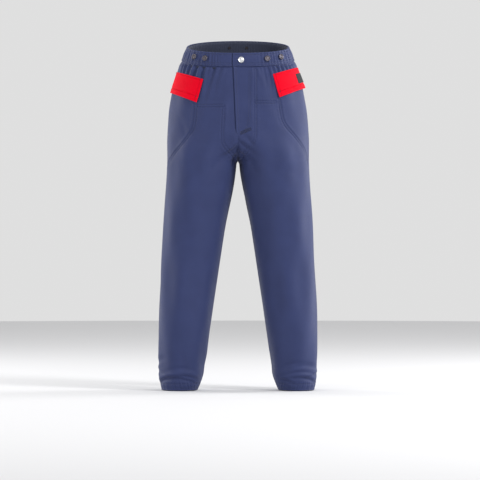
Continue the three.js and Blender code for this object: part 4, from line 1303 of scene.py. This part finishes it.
for side, word in SIDES:
    runs = seam_runs(side)
    runs.append(edge_run(side, -1, 5, HEM + 26, -40, False))
    runs.append(edge_run(side, -1, 5, HEM + 26, -40, True))
    rows = np.array([HEM + HEM_STITCH])
    for facing in (1, -1):
        end = np.abs(angle_at(np.array([0.2]), rows, facing))
        theta = even_angles(np.array([0.01]), end - 0.01, rows, 160, facing)
        points, out = cloth_grid(side, facing, theta, rows)
        runs.append((points[0], out[0]))
    piece = stitched(f"{word}_stitches", runs, THREAD)
    finish_piece(piece, "garment", "thread")

fly_runs = []
line = resampled(FLY_STITCH, 2.0)
for gap in (2.6, -2.6):
    fly_runs.append(front_point(1, shifted(line, gap), 0.0))
zs = np.arange(FLY_BOTTOM + 6, -62, 2.0)
fly_runs.append(front_point(1, np.stack([free_edge(zs) + 7, zs], 1), 0.0))
piece = stitched("fly_stitches", fly_runs, THREAD)
bends_at_fly(piece, "thread")


def band_run(phi, row):
    points, out = band_grid(phi, [(BAND_OUTER - 0.35, row), (BAND_OUTER - 0.35, row + 0.5)])
    return points[0], out[0]


arc = np.linspace(0.01, free_phi - 0.02, 300)
piece = stitched("band_stitches_left", [band_run(arc, row) for row in BAND_STITCHES], THREAD)
bends_at_fly(piece, "thread")
arc = np.linspace(free_phi + 0.06, 2 * math.pi - 0.01, 900)
piece = stitched("band_stitches_round", [band_run(arc, row) for row in BAND_STITCHES], THREAD)
finish_piece(piece, "garment", "thread")


def bartack(side, start, end, width, count, level=0.3):
    """A close zigzag of thread between two points."""
    t = np.linspace(0, 1, 2 * count)
    line = np.array(start) + t[:, None] * (np.array(end) - np.array(start))
    across = np.array([-(end[1] - start[1]), end[0] - start[0]], float)
    across = across / np.linalg.norm(across)
    line = line + across * (width / 2 * np.where(np.arange(2 * count) % 2, 1, -1))[:, None]
    return front_point(side, line, level)


tack_runs = [bartack(1, (7, -246), (37, -233), 2.6, 15), bartack(1, (6, -241), (36, -228), 2.6, 15)]
piece = stitched("fly_tack_threads", tack_runs, THREAD, length=4.0, radius=0.5)
finish_piece(piece, "garment", "thread", "fly_bartack")
for side, word in SIDES:
    runs = []
    for u, v in ((0.965, 0.03), (0.965, 0.76), (0.02, 0.03)):
        zig = [[u - 0.028 + 0.014 * (k % 2), v + 0.011 * k - 0.03] for k in range(7)]
        points, out = flap_point(side, *np.array(zig).T, flap_level(side, *np.array(zig).T) + 0.3)
        runs.append((points, out))
    piece = stitched(f"{word}_flap_tacks", runs, THREAD, length=3.6, radius=0.42)
    finish_piece(piece, f"{word}_flap", "thread")


# ---- buttons and stud ----------------------------------------------------------------------
SHANK = 2.2  # radius of the post under a brace button's head


def cap_profile(radius, height):
    """A domed button head with a rolled rim, a dished face and a low boss."""
    shares = [
        (0.30, 0.0), (0.86, 0.1 / height), (0.98, 0.32), (1, 0.55), (0.97, 0.80), (0.90, 0.96), (0.82, 1),
        (0.74, 0.93), (0.66, 0.72), (0.52, 0.66), (0.40, 0.70), (0.34, 0.86), (0.22, 0.95), (0.08, 0.97),
    ]
    return [(radius * across, height * up) for across, up in shares]


def waist_normal(point):
    phi = math.atan2(-(point[1] - CENTRE_Y), point[0])
    at = waist_surface(np.array([phi]), np.array([point[2]]))[0]
    out = normal_of(waist_surface, np.array([phi]), np.array([point[2]]))[0]
    return out * np.sign(out @ (at - [0, CENTRE_Y, 0])), at


def button(node, name, radius, low, high, material, body, slot):
    """A turned head from level low to level high over the waist surface, where the CAD node stands."""
    out, at = waist_normal(centre_of(node))
    shank = [(SHANK, low - 2.0), (SHANK, low)] if low > 4 else []
    profile = [*shank, *[(r, low + h) for r, h in cap_profile(radius, high - low)]]
    piece = turned(name, profile, at, out, material)
    return finish_piece(piece, body, slot, node)


BUTTON_RADIUS, BUTTON_LOW, BUTTON_HIGH = 8, 4.4, 7.2
BRACE = [("front", k) for k in range(1, 5)] + [("back", k) for k in range(1, 3)]
for place, k in BRACE:
    node, name = f"brace_button_{place}_{k}", f"{place}_button_{k}"
    button(node, name, BUTTON_RADIUS, BUTTON_LOW, BUTTON_HIGH, BRONZE, "garment", "bronze")
button("stud_cap", "stud_head", 8.4, 2.5, 5.0, SILVER, "fly_flap", "silver")

# metal parts kept as they are, with small bevels
KEPT = {
    "silver": (SILVER, ["stud_socket", "stud_knob", "stud_rivet"]),
    "zip_metal": (ZIP_METAL, ["zip_teeth_left", "zip_teeth_right", "zip_top_stop_left", "zip_top_stop_right",
                              "zip_bottom_stop", "zip_slider", "zip_pull"]),
    "bronze": (BRONZE, [f"brace_tack_{place}_{k}" for place, k in BRACE]),
}
BEVEL = 0.0002
for material, nodes in KEPT.values():
    for node in nodes:
        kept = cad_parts[node]
        kept.data.materials.clear()
        kept.data.materials.append(material)
        bevel = kept.modifiers.new("edges", "BEVEL")
        bevel.width, bevel.segments, bevel.limit_method = BEVEL, 2, "ANGLE"


# ---- stage ---------------------------------------------------------------------------------
def face(thing, target):
    """Turns a lamp or the camera from its own place towards a target."""
    thing.rotation_euler = (Vector(target) - thing.location).to_track_quat("-Z", "Y").to_euler()


LIT_POINT = (0, 0, -0.5)


def light(name, place, size, power):
    lamp = bpy.data.lights.new(name, "AREA")
    lamp.shape, lamp.size, lamp.energy = "DISK", size, power
    lamp_object = bpy.data.objects.new(name, lamp)
    lamp_object.location = place
    face(lamp_object, LIT_POINT)
    bpy.context.scene.collection.objects.link(lamp_object)


light("key", (3.2, -2.6, 1.9), 1.3, 150)
light("fill", (-3.4, -2.2, 0.6), 1.6, 40)
light("rim_right", (2.8, 1.0, 0.3), 1.4, 70)
light("rim_left", (-2.8, 1.2, 0.2), 1.4, 50)

bpy.context.scene.view_settings.view_transform = "Standard"
world = bpy.data.worlds.new("studio")
world.use_nodes = True
world.node_tree.nodes["Background"].inputs["Color"].default_value = (1, 1, 1, 1)
world.node_tree.nodes["Background"].inputs["Strength"].default_value = 0.74
bpy.context.scene.world = world

FLOOR_RADIUS, FLOOR_SIDES, FLOOR_GAP = 6, 64, 1
floor_mesh = bpy.data.meshes.new("floor")
ring = np.linspace(0, 2 * math.pi, FLOOR_SIDES, endpoint=False)
floor_z = 0 * ring + (HEM - FLOOR_GAP) * MM
floor_points = np.stack([FLOOR_RADIUS * np.cos(ring), FLOOR_RADIUS * np.sin(ring), floor_z], 1)
floor_mesh.from_pydata(floor_points.tolist(), [], [list(range(FLOOR_SIDES))])
floor = bpy.data.objects.new("floor", floor_mesh)
bpy.context.scene.collection.objects.link(floor)
floor_material, _, _ = new_material("floor", (0.66, 0.66, 0.67), 0.8)
floor_mesh.materials.append(floor_material)

CAMERA_X, CAMERA_BACK, CAMERA_Z, AIM_Z = 0.0056, -10, -0.44, -0.54
camera = bpy.data.cameras.new("camera")
camera.lens, camera.sensor_width = 267.9, 36
camera_object = bpy.data.objects.new("camera", camera)
camera_object.location = (CAMERA_X, CAMERA_BACK, CAMERA_Z)
face(camera_object, (CAMERA_X, 0, AIM_Z))
bpy.context.scene.collection.objects.link(camera_object)
bpy.context.scene.camera = camera_object
